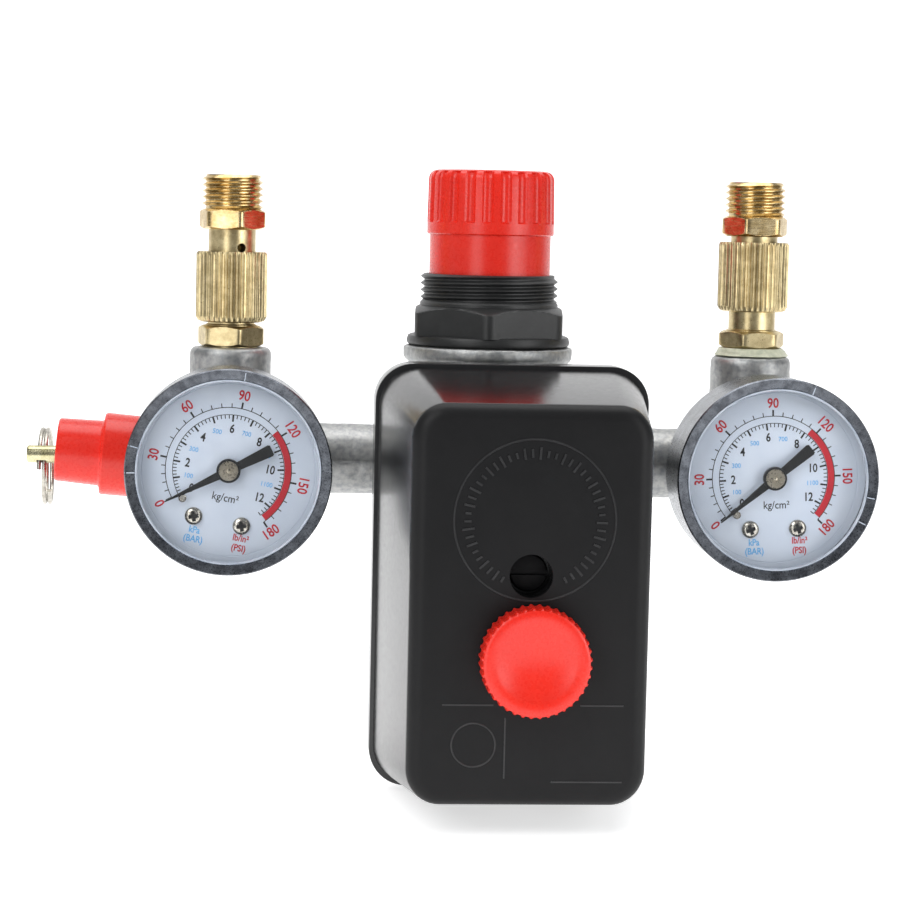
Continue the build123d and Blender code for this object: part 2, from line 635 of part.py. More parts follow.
with BuildPart() as terminal_screws:
    for across in contact_places:
        rod(facing(switch_x, 33.2, bar_z), 2.6, 2, at=(across, -48))
        rod(facing(switch_x, 28.5, bar_z), 1.5 - seat_gap, 5, at=(across, -48))
save(terminal_screws.part, "terminal_screws")

# Bridging contacts carried on the lever
with BuildPart() as moving_contacts:
    for hand in (-1, 1):
        block(facing(switch_x, 36.2, contact_z), 10.9, 5, 0.8, at=(hand * 11.35, 0))
    for across in contact_places:
        rod(facing(switch_x, contact_face + 0.02, contact_z), 2.0, 2, at=(across, 0))
save(moving_contacts.part, "moving_contacts")

# ---- Pressure switch: cover and knob -------------------------------------

cover_length = cover_front - base_rim
draft_angle = atan(cover_draft / cover_length)
bottom_z = box_z - (base_height - 1.6) / 2 + 16 * cover_draft / cover_length
wall_out = (0, -sin(draft_angle), -cos(draft_angle))
gland_planes = [
    Plane(origin=(switch_x + hand * gland_x, -base_rim - 16, bottom_z), x_dir=(1, 0, 0), z_dir=wall_out)
    for hand in (-1, 1)
]

with BuildPart() as switch_cover:
    for forward, width, height, corner in (
        (base_rim, base_width - 1.6, base_height - 1.6, 8.0),
        (cover_front, base_width - 1.6 - 2 * cover_draft, base_height - 1.6 - 2 * cover_draft, 5.5),
    ):
        with BuildSketch(facing(switch_x, forward, box_z)):
            RectangleRounded(width, height, corner)
    loft()
    fillet(edges().group_by(Axis.Y)[0], 2.8)
    for forward, width, height, corner in (
        (base_rim, base_width - 5.6, base_height - 5.6, 6.0),
        (cover_front - cover_wall, base_width - 5.6 - 1.9 * cover_draft, base_height - 5.6 - 1.9 * cover_draft, 4.0),
    ):
        with BuildSketch(facing(switch_x, forward, box_z)):
            RectangleRounded(width, height, corner)
    loft(mode=Mode.SUBTRACT)
    # Deep well for the cover's screw
    rod(facing(switch_x, 62.5, switch_z), 6.2, 8.5)
    rod(facing(switch_x, 64.5, switch_z), 4.25, 10, Mode.SUBTRACT)
    rod(facing(switch_x, 62, switch_z), 2.1, 4, Mode.SUBTRACT)
    # Openings for the knob's stem and the cable grommets
    rod(facing(knob_x, 69, knob_z), 6.3, 5, Mode.SUBTRACT)
    for plane in gland_planes:
        rod(plane.offset(-4), 7.0, 6, Mode.SUBTRACT)
save(switch_cover.part, "switch_cover")

with BuildPart() as cover_screw:
    rod(facing(switch_x, 64.5, switch_z), 3.8, 2.5)
    rod(facing(switch_x, 58, switch_z), 2.0 - seat_gap, 7)
    block(facing(switch_x, 66.2, switch_z), 9, 0.9, 2, Mode.SUBTRACT)
save(cover_screw.part, "cover_screw")

with BuildPart() as cable_grommets:
    for plane in gland_planes:
        rod(plane.offset(-4.1), 8.5, 1.5)
        rod(plane.offset(-4.1), 6.95, 4.2)
        rod(plane.offset(0.05), 8.5, 1.5)
        rod(plane.offset(-5), 4.5, 7, Mode.SUBTRACT)
save(cable_grommets.part, "cable_grommets")

# On/off knob: serrated rim, and a stem through the cover
with BuildPart() as on_off_knob:
    rod(facing(knob_x, 72.6, knob_z), on_off_radius, knob_front - 72.6)
    fillet(edges().group_by(Axis.Y)[0], 1.2)
    with BuildSketch(facing(knob_x, 72, knob_z)) as serrations:
        with PolarLocations(on_off_radius + 0.25, 40):
            Circle(0.6)
    extrude(serrations.sketch, amount=8, mode=Mode.SUBTRACT)
    rod(facing(knob_x, 64, knob_z), 6.0, 9)
    rod(facing(knob_x, 63, knob_z), 3.0 + seat_gap, 7, Mode.SUBTRACT)
save(on_off_knob.part, "on_off_knob")

with BuildPart() as knob_rod:
    rod(facing(knob_x, 27, knob_z), 3.0, 43)
save(knob_rod.part, "knob_rod")
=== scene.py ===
import math
import bmesh
import bpy
from mathutils import Matrix, Vector, noise


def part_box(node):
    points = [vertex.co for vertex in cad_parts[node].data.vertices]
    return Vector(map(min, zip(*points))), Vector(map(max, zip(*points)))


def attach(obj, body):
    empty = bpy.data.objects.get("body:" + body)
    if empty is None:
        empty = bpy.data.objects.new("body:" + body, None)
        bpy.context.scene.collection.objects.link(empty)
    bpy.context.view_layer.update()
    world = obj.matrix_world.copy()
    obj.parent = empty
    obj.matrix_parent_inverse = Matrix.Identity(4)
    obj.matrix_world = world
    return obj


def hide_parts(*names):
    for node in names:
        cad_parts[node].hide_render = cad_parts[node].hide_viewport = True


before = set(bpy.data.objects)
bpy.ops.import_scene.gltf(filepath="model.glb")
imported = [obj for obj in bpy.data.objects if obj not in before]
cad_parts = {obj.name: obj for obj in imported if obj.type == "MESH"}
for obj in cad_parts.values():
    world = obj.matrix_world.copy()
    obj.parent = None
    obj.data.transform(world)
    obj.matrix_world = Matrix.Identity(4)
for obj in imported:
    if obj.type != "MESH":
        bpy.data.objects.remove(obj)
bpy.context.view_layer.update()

# ---- Manifold casting ----------------------------------------------------
# Zinc alloy die casting: a bar with two end bosses, two upright bosses for
# the slide valves, the regulator's column, the inlet leg and a switch port.
# It comes grey and dull from the mould, with the parting line left on it.

MM = 0.001
BACK = (0, 1, 0)
FRONT = (0, -1, 0)
UP = (0, 0, 1)
RIGHT = (1, 0, 0)
LEFT = (-1, 0, 0)


def standing(origin, up=UP, across=RIGHT):
    """Where a piece drawn on its own axis stands, in millimetres."""
    up = Vector(up).normalized()
    across = Vector(across)
    across = (across - up * across.dot(up)).normalized()
    turn = Matrix((across, up.cross(across), up)).transposed().to_4x4()
    return Matrix.Translation(origin) @ turn


def moved(mesh, place):
    """The same mesh, set in its place."""
    mesh.transform(place)
    return mesh


def turned(outline, place, steps=96):
    """A lathe-turned shape: radii and heights spun round the axis."""
    mesh = bmesh.new()
    points = [mesh.verts.new((radius, 0, height)) for radius, height in outline]
    lines = [mesh.edges.new(pair) for pair in zip(points, points[1:])]
    bmesh.ops.spin(mesh, geom=points + lines, cent=(0, 0, 0), axis=(0, 0, 1),
                   angle=math.tau, steps=steps, use_merge=True)
    bmesh.ops.remove_doubles(mesh, verts=mesh.verts, dist=0.0005)
    bmesh.ops.recalc_face_normals(mesh, faces=mesh.faces)
    return moved(mesh, place)


def round_bar(radius, length, place, steps=96):
    """A plain round stretch that stands on a place."""
    return turned([(0, 0), (radius, 0), (radius, length), (0, length)], place, steps)


def block(width, depth, height, place):
    """A square block that stands on a place."""
    mesh = bmesh.new()
    bmesh.ops.create_cube(mesh, size=1)
    bmesh.ops.scale(mesh, vec=(width, depth, height), verts=mesh.verts)
    bmesh.ops.translate(mesh, vec=(0, 0, height / 2), verts=mesh.verts)
    return moved(mesh, place)


def together(*meshes):
    """Several shapes in one mesh."""
    for mesh in meshes[1:]:
        data = bpy.data.meshes.new("part")
        mesh.to_mesh(data)
        mesh.free()
        meshes[0].from_mesh(data)
        bpy.data.meshes.remove(data)
    return meshes[0]


def loose_object(mesh):
    """A mesh on an object of its own, for a modifier to work on."""
    data = bpy.data.meshes.new("blank")
    mesh.to_mesh(data)
    mesh.free()
    blank = bpy.data.objects.new("blank", data)
    bpy.context.scene.collection.objects.link(blank)
    return blank


def worked(*blanks):
    """The first object's mesh with its modifier applied; the objects go."""
    bpy.context.view_layer.update()
    shape = blanks[0].evaluated_get(bpy.context.evaluated_depsgraph_get())
    mesh = bmesh.new()
    mesh.from_mesh(shape.to_mesh())
    shape.to_mesh_clear()
    for blank in blanks:
        data = blank.data
        bpy.data.objects.remove(blank)
        bpy.data.meshes.remove(data)
    return mesh


def combined(mesh, tool, operation="DIFFERENCE"):
    """One closed shape cut by another, or welded to it."""
    blank = loose_object(mesh)
    cutter = loose_object(tool)
    step = blank.modifiers.new("cut", "BOOLEAN")
    step.operation = operation
    step.solver = "EXACT"
    step.object = cutter
    return worked(blank, cutter)


def linear(code):
    """An sRGB hex colour as linear light."""
    parts = [int(code[i:i + 2], 16) / 255 for i in (1, 3, 5)]
    light = [part / 12.92 if part <= 0.04045 else ((part + 0.055) / 1.055) ** 2.4 for part in parts]
    return light + [1]


def add_node(material, kind, inputs=(), **settings):
    """Adds a node with its settings, and its values or links by socket."""
    added = material.node_tree.nodes.new(kind)
    for name, value in settings.items():
        setattr(added, name, value)
    for socket, value in dict(inputs).items():
        if isinstance(value, bpy.types.NodeSocket):
            material.node_tree.links.new(value, added.inputs[socket])
        else:
            added.inputs[socket].default_value = value
    return added


def surface(name, dark, light, rough, grain, depth, metallic=0.0, stretch=(1, 1, 1), patch=6.0,
            **more):
    """A material whose colour wanders between two shades in patches, with a
    grain, both in millimetres, that moves its roughness and its height."""
    material = bpy.data.materials.new(name)
    material.use_nodes = True
    material.node_tree.nodes.clear()
    spot = add_node(material, "ShaderNodeTexCoord").outputs["Object"]
    drawn = add_node(material, "ShaderNodeMapping", {"Vector": spot, "Scale": stretch}).outputs[0]
    patches = add_node(material, "ShaderNodeTexNoise",
                       {"Vector": spot, "Scale": 1 / (patch * MM), "Detail": 4.0, "Roughness": 0.6})
    grains = add_node(material, "ShaderNodeTexNoise",
                      {"Vector": drawn, "Scale": 1 / (grain * MM), "Detail": 3.0, "Roughness": 0.55})
    tint = add_node(material, "ShaderNodeValToRGB", {"Fac": patches.outputs["Fac"]})
    tint.color_ramp.elements[0].position = 0.36
    tint.color_ramp.elements[0].color = linear(dark)
    tint.color_ramp.elements[1].position = 0.64
    tint.color_ramp.elements[1].color = linear(light)
    polish = add_node(material, "ShaderNodeMapRange",
                      {"Value": grains.outputs["Fac"], "From Min": 0.3, "From Max": 0.7,
                       "To Min": rough[0], "To Max": rough[1]})
    bump = add_node(material, "ShaderNodeBump",
                    {"Height": grains.outputs["Fac"], "Strength": 1.0, "Distance": depth * MM})
    sockets = {"Base Color": tint.outputs["Color"], "Roughness": polish.outputs[0],
               "Normal": bump.outputs[0], "Metallic": metallic}
    shader = add_node(material, "ShaderNodeBsdfPrincipled", {**sockets, **more})
    add_node(material, "ShaderNodeOutputMaterial", {"Surface": shader.outputs[0]})
    return material


def made(mesh, name, body, finish, stands_for=(), edge=35):
    """Finishes a piece: its mesh in metres, shading, materials and body."""
    bmesh.ops.transform(mesh, matrix=Matrix.Scale(MM, 4), verts=mesh.verts)
    data = bpy.data.meshes.new(name)
    mesh.to_mesh(data)
    mesh.free()
    data.shade_smooth()
    data.set_sharp_from_angle(angle=math.radians(edge))
    for material in (finish if isinstance(finish, list) else [finish]):
        data.materials.append(material)
    piece = bpy.data.objects.new(name, data)
    bpy.context.scene.collection.objects.link(piece)
    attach(piece, body)
    if stands_for:
        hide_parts(*stands_for)
    return piece


def span(node):
    """A CAD node's lowest and highest corners, in millimetres."""
    low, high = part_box(node)
    return low / MM, high / MM


# Zinc alloy, as cast: a dull grey skin with darker oxide, pitted by the mould
die_cast_zinc = surface("die_cast_zinc", "#949697", "#B2B2B0", (0.36, 0.55), 0.35, 0.03,
                        metallic=0.9, patch=1.2)

casting_low, casting_high = span("manifold_casting")
bar_z = 36.0
bar_radius = 7.75
boss_radius = 8.9
boss_top = 60.2
boss_places = {"left": -56.3, "right": 58.5}
end_boss_radius = 9.0
end_boss_length = 9.0
leg_radius = 11.5
column_radius = 17.2
column_foot = 43.0
column_top = casting_high.z
flange_radius = 18.6
bar_length = casting_high.x - casting_low.x
switch_x = 2.7
switch_port_z = 20.4
switch_boss_radius = 9.0
gauge_boss_radius = 8.5
column_axis = standing((0, 0, 0))
bar_start = standing((casting_low.x, 0, bar_z), RIGHT, BACK)
right_end_boss = standing((casting_high.x - end_boss_length, 0, bar_z), RIGHT, BACK)
switch_port = standing((switch_x, 0, switch_port_z), FRONT)

lumps = [
    round_bar(bar_radius, bar_length, bar_start),
    round_bar(end_boss_radius, end_boss_length, bar_start),
    round_bar(end_boss_radius, end_boss_length, right_end_boss),
    round_bar(leg_radius, bar_z, column_axis),
    round_bar(column_radius, column_top - column_foot, standing((0, 0, column_foot))),
    turned([(0, 57.9), (17.8, 57.9), (flange_radius, 58.7), (flange_radius, column_top),
            (0, column_top)], column_axis),
    turned([(0, 38), (leg_radius, 38), (column_radius, 45), (0, 45)], column_axis),
    round_bar(switch_boss_radius, 14, switch_port),
]
for x in boss_places.values():
    lumps.append(turned([(0, 27), (boss_radius - 0.8, 27), (boss_radius, 28), (boss_radius, boss_top - 1.0),
                         (boss_radius - 0.8, boss_top), (0, boss_top)], standing((x, 0, 0))))
    lumps.append(round_bar(gauge_boss_radius, 13, standing((x, 0, bar_z), FRONT)))
blank = loose_object(together(*lumps))
mould = blank.modifiers.new("cast", "REMESH")
mould.mode = "VOXEL"
mould.voxel_size = 0.5
casting = worked(blank)
for smoothing in range(3):
    bmesh.ops.smooth_vert(casting, verts=casting.verts, factor=0.5,
                          use_axis_x=True, use_axis_y=True, use_axis_z=True)
casting.normal_update()
# The cast skin wavers by a tenth of a millimetre, inside the mould's size
skin_depth = 0.08
for point in casting.verts:
    waver = noise.noise(point.co * 0.22) * 0.10 + noise.noise(point.co * 0.8) * 0.06
    point.co += point.normal * (waver - skin_depth)


def threaded(crest, depth, pitch, low, high, bore, place, steps=72, fade=0.8, foot_fade=0.8):
    """A stretch of screw thread on a tube, chamfered at both ends."""
    root = crest - depth
    mesh = bmesh.new()
    points = []
    for turn in range(math.ceil((high - low) / pitch) + 3):
        start = low + (turn - 2) * pitch
        for radius, rise in ((root, 0.0), (root, 0.08), (crest, 0.44), (crest, 0.56), (root, 0.92)):
            points.append(mesh.verts.new((radius, 0, start + rise * pitch)))
    lines = [mesh.edges.new(pair) for pair in zip(points, points[1:])]
    bmesh.ops.spin(mesh, geom=points + lines, cent=(0, 0, 0), axis=(0, 0, 1),
                   dvec=(0, 0, pitch / steps), angle=math.tau, steps=steps, use_merge=False)
    bmesh.ops.remove_doubles(mesh, verts=mesh.verts, dist=0.002)
    for height, side in ((low, -1), (high, 1)):
        bmesh.ops.bisect_plane(mesh, geom=mesh.verts[:] + mesh.edges[:] + mesh.faces[:],
                               plane_co=(0, 0, height), plane_no=(0, 0, side), clear_outer=True)
    for point in mesh.verts:
        radius = point.co.xy.length
        room = min((high - point.co.z) / fade, (point.co.z - low) / foot_fade, 1.0)
        allowed = root + depth * max(room, 0.0)
        if radius > allowed:
            point.co.xy *= allowed / radius
    rims = [edge for edge in mesh.edges if edge.is_boundary]
    walls = []
    for height in (low, high):
        rim = [edge for edge in rims
               if all(abs(point.co.z - height) < 0.01 for point in edge.verts)]
        ring = bmesh.ops.create_circle(mesh, cap_ends=False, radius=bore, segments=steps,
                                       matrix=Matrix.Translation((0, 0, height)))["verts"]
        ring_edges = list({edge for point in ring for edge in point.link_edges})
        bmesh.ops.bridge_loops(mesh, edges=rim + ring_edges)
        walls += ring_edges
    bmesh.ops.bridge_loops(mesh, edges=walls)
    bmesh.ops.recalc_face_normals(mesh, faces=mesh.faces)
    return moved(mesh, place)


thread_pitch = 1.337
inlet_thread = threaded(8.33, 1.15, thread_pitch, -1.0, 10.0, 3.0, column_axis, fade=0.9, foot_fade=0.01)
inlet_port = combined(round_bar(7.4, 13, standing((0, 0, -2))), inlet_thread, "UNION")
casting = combined(casting, inlet_port)
# The thin line of flash where the mould's halves met
flash = block(bar_length - 1, 2 * bar_radius + 0.7, 0.45,
              standing((casting_low.x + bar_length / 2, 0, bar_z - 0.2)))
long_edges = [edge for edge in flash.edges if abs((edge.verts[0].co - edge.verts[1].co).x) > 5]
bmesh.ops.subdivide_edges(flash, edges=long_edges, cuts=140)
for point in flash.verts:
    point.co.y *= 1 + 0.018 * noise.noise(Vector((point.co.x * 0.45, point.co.y, 0)))
    point.co.z += 0.08 * noise.noise(Vector((point.co.x * 0.3, 4, 0)))
casting = together(casting, flash)
made(casting, "casting", "manifold", die_cast_zinc, ["manifold_casting"], edge=50)

# ---- End plug ------------------------------------------------------------
# Brass plug with a hexagon head, screwed into the right end port. Turned
# from hexagon bar, so its corners are turned off at the outer face.

# Free-cutting brass, machined: bright yellow with fine turning marks
turned_brass = surface("turned_brass", "#BBA672", "#DECBA0", (0.20, 0.32), 0.25, 0.002,
                       metallic=1.0, patch=3.0)


def hexagonal(across_flats, low, high, place, bore=0.0, both=True, steps=96, corner=0.565):
    """Hexagon bar cut to length, faced and with its corners turned off."""
    face = across_flats * 0.475
    reach = across_flats * corner
    rows = 7
    slope = (reach - face) * 0.55
    foot = [(face + (reach - face) * i / rows, low + slope * i / rows) for i in range(rows + 1)]
    head = [(radius, low + high - height) for radius, height in reversed(foot)]
    if not both:
        foot = [(reach, low)]
    outline = [(bore, low)] + foot + head + [(bore, high)]
    if bore:
        outline.append((bore, low))
    mesh = turned(outline, Matrix(), steps)
    for point in mesh.verts:
        away = math.degrees(math.atan2(point.co.y, point.co.x)) % 60 - 30
        flat = across_flats / 2 / math.cos(math.radians(away))
        if point.co.xy.length > flat:
            point.co.xy *= flat / point.co.xy.length
    return moved(mesh, place)


port_hex = 14
port_thread_radius = 6.4
plug_head = 4
plug_low, plug_high = span("manifold_end_plug")
plug_place = standing((plug_high.x - plug_head, 0, bar_z), RIGHT, BACK)
plug = combined(hexagonal(port_hex, 0, plug_head, plug_place),
                round_bar(port_thread_radius, 7.5, standing((plug_low.x, 0, bar_z), RIGHT, BACK), 48),
                "UNION")
made(plug, "end_plug", "manifold", turned_brass, ["manifold_end_plug"], edge=25)

# ---- Regulator's inner parts ---------------------------------------------
# Seat, poppet, diaphragm and springs inside the column. Nothing of them
# shows, so they keep their machined shapes and take plain finishes.

# Spring steel wire, drawn: grey with a dull shine
spring_wire = surface("spring_wire", "#6E7073", "#9A9C9E", (0.25, 0.4), 0.2, 0.004, metallic=1.0)
# Nitrile rubber, moulded: near black and matt
nitrile_rubber = surface("nitrile_rubber", "#191919", "#232323", (0.6, 0.8), 0.3, 0.02)
# Zinc-plated steel, pressed or turned: bluish white
zinc_plated_steel = surface("zinc_plated_steel", "#9A9DA0", "#C6C9CC", (0.22, 0.38), 0.3, 0.006,
                            metallic=1.0)
# Glass-filled nylon, moulded: black with a satin skin
black_nylon = surface("black_nylon", "#1A1B1B", "#242525", (0.36, 0.48), 0.35, 0.012, patch=5.0)


def keep(finish, *nodes):
    """Gives machined nodes that stay as they are a better finish."""
    for name in nodes:
        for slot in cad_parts[name].material_slots:
            slot.material = finish


keep(turned_brass, "valve_seat", "poppet_valve")
keep(spring_wire, "poppet_spring", "regulator_spring", "adjusting_screw")
keep(nitrile_rubber, "regulator_diaphragm")
keep(zinc_plated_steel, "diaphragm_plate", "spring_seat")

# ---- Regulator bonnet ----------------------------------------------------
# Moulded in black glass-filled nylon: a flange that lands on the casting,
# a hexagon for the spanner, and a tube with a thread for a panel nut.

bonnet_bore = 12.6
flange_top = column_top + 2.3
hex_top = column_top + 8.7
tube_top = 77.0
flange = turned([(bonnet_bore, column_top), (17.3, column_top), (17.75, column_top + 0.4),
                 (17.9, column_top + 1.1), (17.6, flange_top - 0.25), (17.1, flange_top),
                 (bonnet_bore, flange_top), (bonnet_bore, column_top)], column_axis)
collar = turned([(bonnet_bore, flange_top - 0.5), (15.1, flange_top - 0.5), (15.1, hex_top + 0.6),
                 (14.6, hex_top + 1.2), (bonnet_bore, hex_top + 1.2), (bonnet_bore, flange_top - 0.5)],
                column_axis)
bonnet_turn = math.radians(25)
bonnet_across = (math.cos(bonnet_turn), math.sin(bonnet_turn), 0)
spanner_hex = hexagonal(32.0, flange_top - 0.2, hex_top, standing((0, 0, 0), across=bonnet_across),
                        bore=bonnet_bore, both=False, steps=144)
panel_pitch = 1.5
thread = threaded(15.0, 0.75, panel_pitch, hex_top + 0.3, tube_top, 13.4, column_axis, steps=120,
                  fade=0.5, foot_fade=0.9)
neck = turned([(9.7, 66), (13.6, 66), (13.6, 70.5), (11.2, 70.5), (11.2, 87.5), (10.7, 88), (3.2, 88),
               (3.2, 85), (9.7, 85), (9.7, 66)], column_axis)
bonnet = together(flange, collar, spanner_hex, thread, neck)
made(bonnet, "bonnet", "manifold", black_nylon, ["regulator_bonnet"], edge=32)

# ---- Regulator knob ------------------------------------------------------
# Red cap, moulded in one piece: a plain skirt that goes down inside the
# threaded tube, and a wider top with grooves for the fingers. Pulled up to
# turn, pushed down to lock.

# Polypropylene, moulded: saturated red with a soft gloss and no grain
red_polypropylene = surface("red_polypropylene", "#DC2416", "#E22A1A", (0.24, 0.32), 0.8, 0.004,
                            patch=9.0, **{"IOR": 1.49, "Subsurface Weight": 0.08,
                                          "Subsurface Radius": (0.002, 0.0006, 0.0004)})


def scalloped(mesh, count, width, depth, low, high, reach):
    """Presses grooves into a turned shape from its axis outwards."""
    step = math.tau / count
    for point in mesh.verts:
        radius = point.co.xy.length
        if low <= point.co.z <= high and radius > reach:
            angle = math.atan2(point.co.y, point.co.x) % step
            away = min(angle, step - angle) * radius / (width / 2)
            if away < 1:
                point.co.xy *= (radius - depth * math.sqrt(1 - away * away)) / radius
    return mesh


knob_low, knob_high = span("regulator_knob")
cap_foot = 85.6
groove_foot = cap_foot + 2.9
cap_fillet = 2.0
cap_radius = 13.85
skirt_bore = 11.5
groove_count = 22
outline = [(skirt_bore, knob_low.z), (12.95, knob_low.z), (13.2, knob_low.z + 0.3), (13.2, cap_foot - 0.05),
           (13.6, cap_foot), (cap_radius, cap_foot + 0.25), (cap_radius, groove_foot - 0.35),
           (cap_radius, groove_foot - 0.01), (cap_radius, groove_foot + 0.3)]
outline += [(cap_radius - 0.03 * i, groove_foot + 0.3 + i * 1.6) for i in range(1, 5)]
for i in range(7):
    swing = math.radians(15 * i)
    outline.append((cap_radius - 0.15 - cap_fillet * (1 - math.cos(swing)),
                    knob_high.z - cap_fillet * (1 - math.sin(swing))))
outline += [(10.6, knob_high.z - 0.02), (9.6, knob_high.z - 0.25), (0, knob_high.z - 0.35),
            (0, knob_high.z - 2.4), (skirt_bore, knob_high.z - 2.4), (skirt_bore, knob_low.z)]
knob = scalloped(turned(outline, Matrix(), groove_count * 16), groove_count, 2.3, 0.75,
                 groove_foot - 0.1, knob_high.z - 0.4, 12.0)
made(knob, "knob", "regulator_knob", red_polypropylene, ["regulator_knob"], edge=38)

# ---- Slide valves --------------------------------------------------------
# Two brass hand valves screwed into the upright bosses. Each is a body with
# a hexagon and a tube, a knurled sleeve that slides on the tube, and an
# outlet with a hexagon and a male thread.

# Brass after pickling: duller and browner than a turned face
pickled_brass = surface("pickled_brass", "#B7A47A", "#DAC99C", (0.26, 0.40), 0.3, 0.005,
                        metallic=1.0, patch=2.0)
# Bright brass: the outlet's threads are cut last and keep a yellow shine
bright_brass = surface("bright_brass", "#BCA06A", "#E2CDA0", (0.18, 0.30), 0.6, 0.003,
                       metallic=1.0, stretch=(0.2, 0.2, 4), patch=3.0)
valve_hex = 13.0
valve_bore = 2.8
tube_radius = 5.1
throat_radius = 4.2
sleeve_radius = 7.7
knurl_count = 40
vent_turn = math.radians(24)
vent_way = (math.sin(vent_turn), -math.cos(vent_turn), 0)
for side, hex_foot, hex_turn in (("left", boss_top + 0.1, 45), ("right", boss_top + 1.8, 5)):
    x = boss_places[side]
    hex_across = (math.cos(math.radians(hex_turn)), math.sin(math.radians(hex_turn)), 0)
    upright = standing((x, 0, 0))
    body_low, body_high = span(f"{side}_valve_body")
    outlet_low, outlet_high = span(f"{side}_valve_outlet")
    sleeve_low, sleeve_high = span(f"{side}_valve_sleeve")
    collar_z = outlet_low.z
    hex_head = collar_z - 20.8
    hex_place = standing((x, 0, 0), across=hex_across)
    hexagon = hexagonal(valve_hex, hex_foot, hex_head, hex_place, bore=valve_bore)
    tube = turned([(valve_bore, body_low.z), (6.0, body_low.z), (6.0, hex_foot - 0.6),
                   (5.8, hex_foot - 0.4), (5.8, hex_foot + 1), (5.6, hex_foot + 1), (5.6, hex_head + 0.15),
                   (tube_radius, hex_head + 0.4), (tube_radius, collar_z), (throat_radius, collar_z),
                   (throat_radius, body_high.z), (valve_bore, body_high.z), (valve_bore, body_low.z)],
                  upright)
    vent = round_bar(1.0, 7, standing((x, 0, collar_z - 3.9), vent_way, UP), 32)
    body = together(combined(tube, vent), hexagon)
    made(body, f"{side}_valve_stem", "manifold", pickled_brass, [f"{side}_valve_body"], edge=28)

    outlet_hex = hexagonal(valve_hex, collar_z, collar_z + 4.4, hex_place, bore=4.25)
    outlet_thread = threaded(6.58, 0.78, thread_pitch, collar_z + 4.2, outlet_high.z, 3.4, upright,
                             foot_fade=0.6)
    made(together(outlet_hex, outlet_thread), f"{side}_outlet", "manifold", bright_brass,
         [f"{side}_valve_outlet"], edge=28)

    foot = sleeve_low.z
    head = sleeve_high.z
    barrel = [(5.2, foot), (6.6, foot), (7.2, foot + 0.25), (sleeve_radius, foot + 1.1)]
    barrel += [(sleeve_radius, foot + 1.3 + (head - foot - 2.2) * i / 6) for i in range(7)]
    barrel += [(sleeve_radius, head - 0.5), (7.35, head), (5.2, head), (5.2, foot)]
    sleeve = scalloped(turned(barrel, Matrix(), knurl_count * 8), knurl_count, 0.75, 0.42,
                       foot + 0.1, head - 0.3, 7.25)
    for point in sleeve.verts:
        if point.co.xy.length > 6.8:
            point.co.xy *= 1 + 0.006 * noise.noise(point.co * 0.9)
    made(moved(sleeve, upright), f"{side}_sleeve", f"{side}_sleeve", pickled_brass,
         [f"{side}_valve_sleeve"], edge=30)

keep(nitrile_rubber, "valve_orings")

# ---- Thread seal ---------------------------------------------------------
# White sealing tape wound on the right valve's shank. Screwing the valve in
# squeezed it out as a soft roll above the boss.

# Sealing tape: waxy greenish white, slightly see-through at its edge
sealing_tape = surface("sealing_tape", "#B4B8A2", "#CFD0B8", (0.35, 0.5), 0.5, 0.05, patch=1.5,
                       **{"Subsurface Weight": 0.2, "Subsurface Radius": (0.001, 0.001, 0.0008)})
tape_low, tape_high = span("right_valve_thread_seal")
roll = [(6.1, tape_low.z), (8.05, tape_low.z)]
roll += [(8.2 - 0.16 * i + 0.05 * math.sin(i * 2.1), tape_low.z + 0.15 + i * 0.24) for i in range(7)]
roll += [(7.0, tape_high.z), (6.1, tape_high.z), (6.1, tape_low.z)]
tape = turned(roll, Matrix(), 96)
for point in tape.verts:
    if point.co.xy.length > 6.7:
        crumple = noise.noise(Vector((point.co.x * 0.35, point.co.y * 0.35, point.co.z * 1.5)))
        point.co.xy *= 0.99 + 0.03 * crumple
made(moved(tape, standing((boss_places["right"], 0, 0))), "thread_seal", "manifold", sealing_tape,
     ["right_valve_thread_seal"], edge=60)

# ---- Gauges --------------------------------------------------------------
# Two small Bourdon-tube gauges with a back connection. Each has a brass
# stem, a dark plated steel case, a printed dial held by two screws, a black
# pointer on a nickel hub, and a clear plastic lens with a broad rim.

# Black nickel plate on pressed steel: a dark mirror, faintly brushed
black_nickel = surface("black_nickel", "#56595F", "#7B7F86", (0.22, 0.36), 0.4, 0.004,
                       metallic=1.0, patch=2.5)
# Pale paint on the lens rim over the plated case: the rim is real, its pale colour is a painted highlight
# of the lens edge catching the light
rim_plastic = surface("rim_plastic", "#A9B3C2", "#C6CEDA", (0.12, 0.2), 0.6, 0.003, patch=6.0)
# Offset-printed tin plate, white lacquer with a cold tint
dial_lacquer = surface("dial_lacquer", "#C9D4E4", "#D2DCEA", (0.35, 0.45), 0.4, 0.002, patch=10.0)
# Printing inks, matt, a hair thick
black_ink = surface("black_ink", "#101114", "#1A1B1F", (0.5, 0.6), 0.3, 0.002)
red_ink = surface("red_ink", "#B80F22", "#C4162A", (0.5, 0.6), 0.3, 0.002)
blue_ink = surface("blue_ink", "#5DA9E0", "#6CB6EA", (0.5, 0.6), 0.3, 0.002)
# Black lacquer on the pointer's thin sheet
black_lacquer = surface("black_lacquer", "#08090A", "#101113", (0.3, 0.4), 0.4, 0.002)
# Nickel plate on turned brass: warm grey and bright
nickel_plate = surface("nickel_plate", "#A39C8C", "#B8B1A2", (0.24, 0.34), 0.4, 0.002,
                       metallic=1.0, patch=4.0)
# The same plate on the small screws and the stop pin: brighter, with an even shine
bright_nickel = surface("bright_nickel", "#B5B1A6", "#D4D1C8", (0.18, 0.30), 0.3, 0.003,
                        metallic=1.0, patch=3.0)

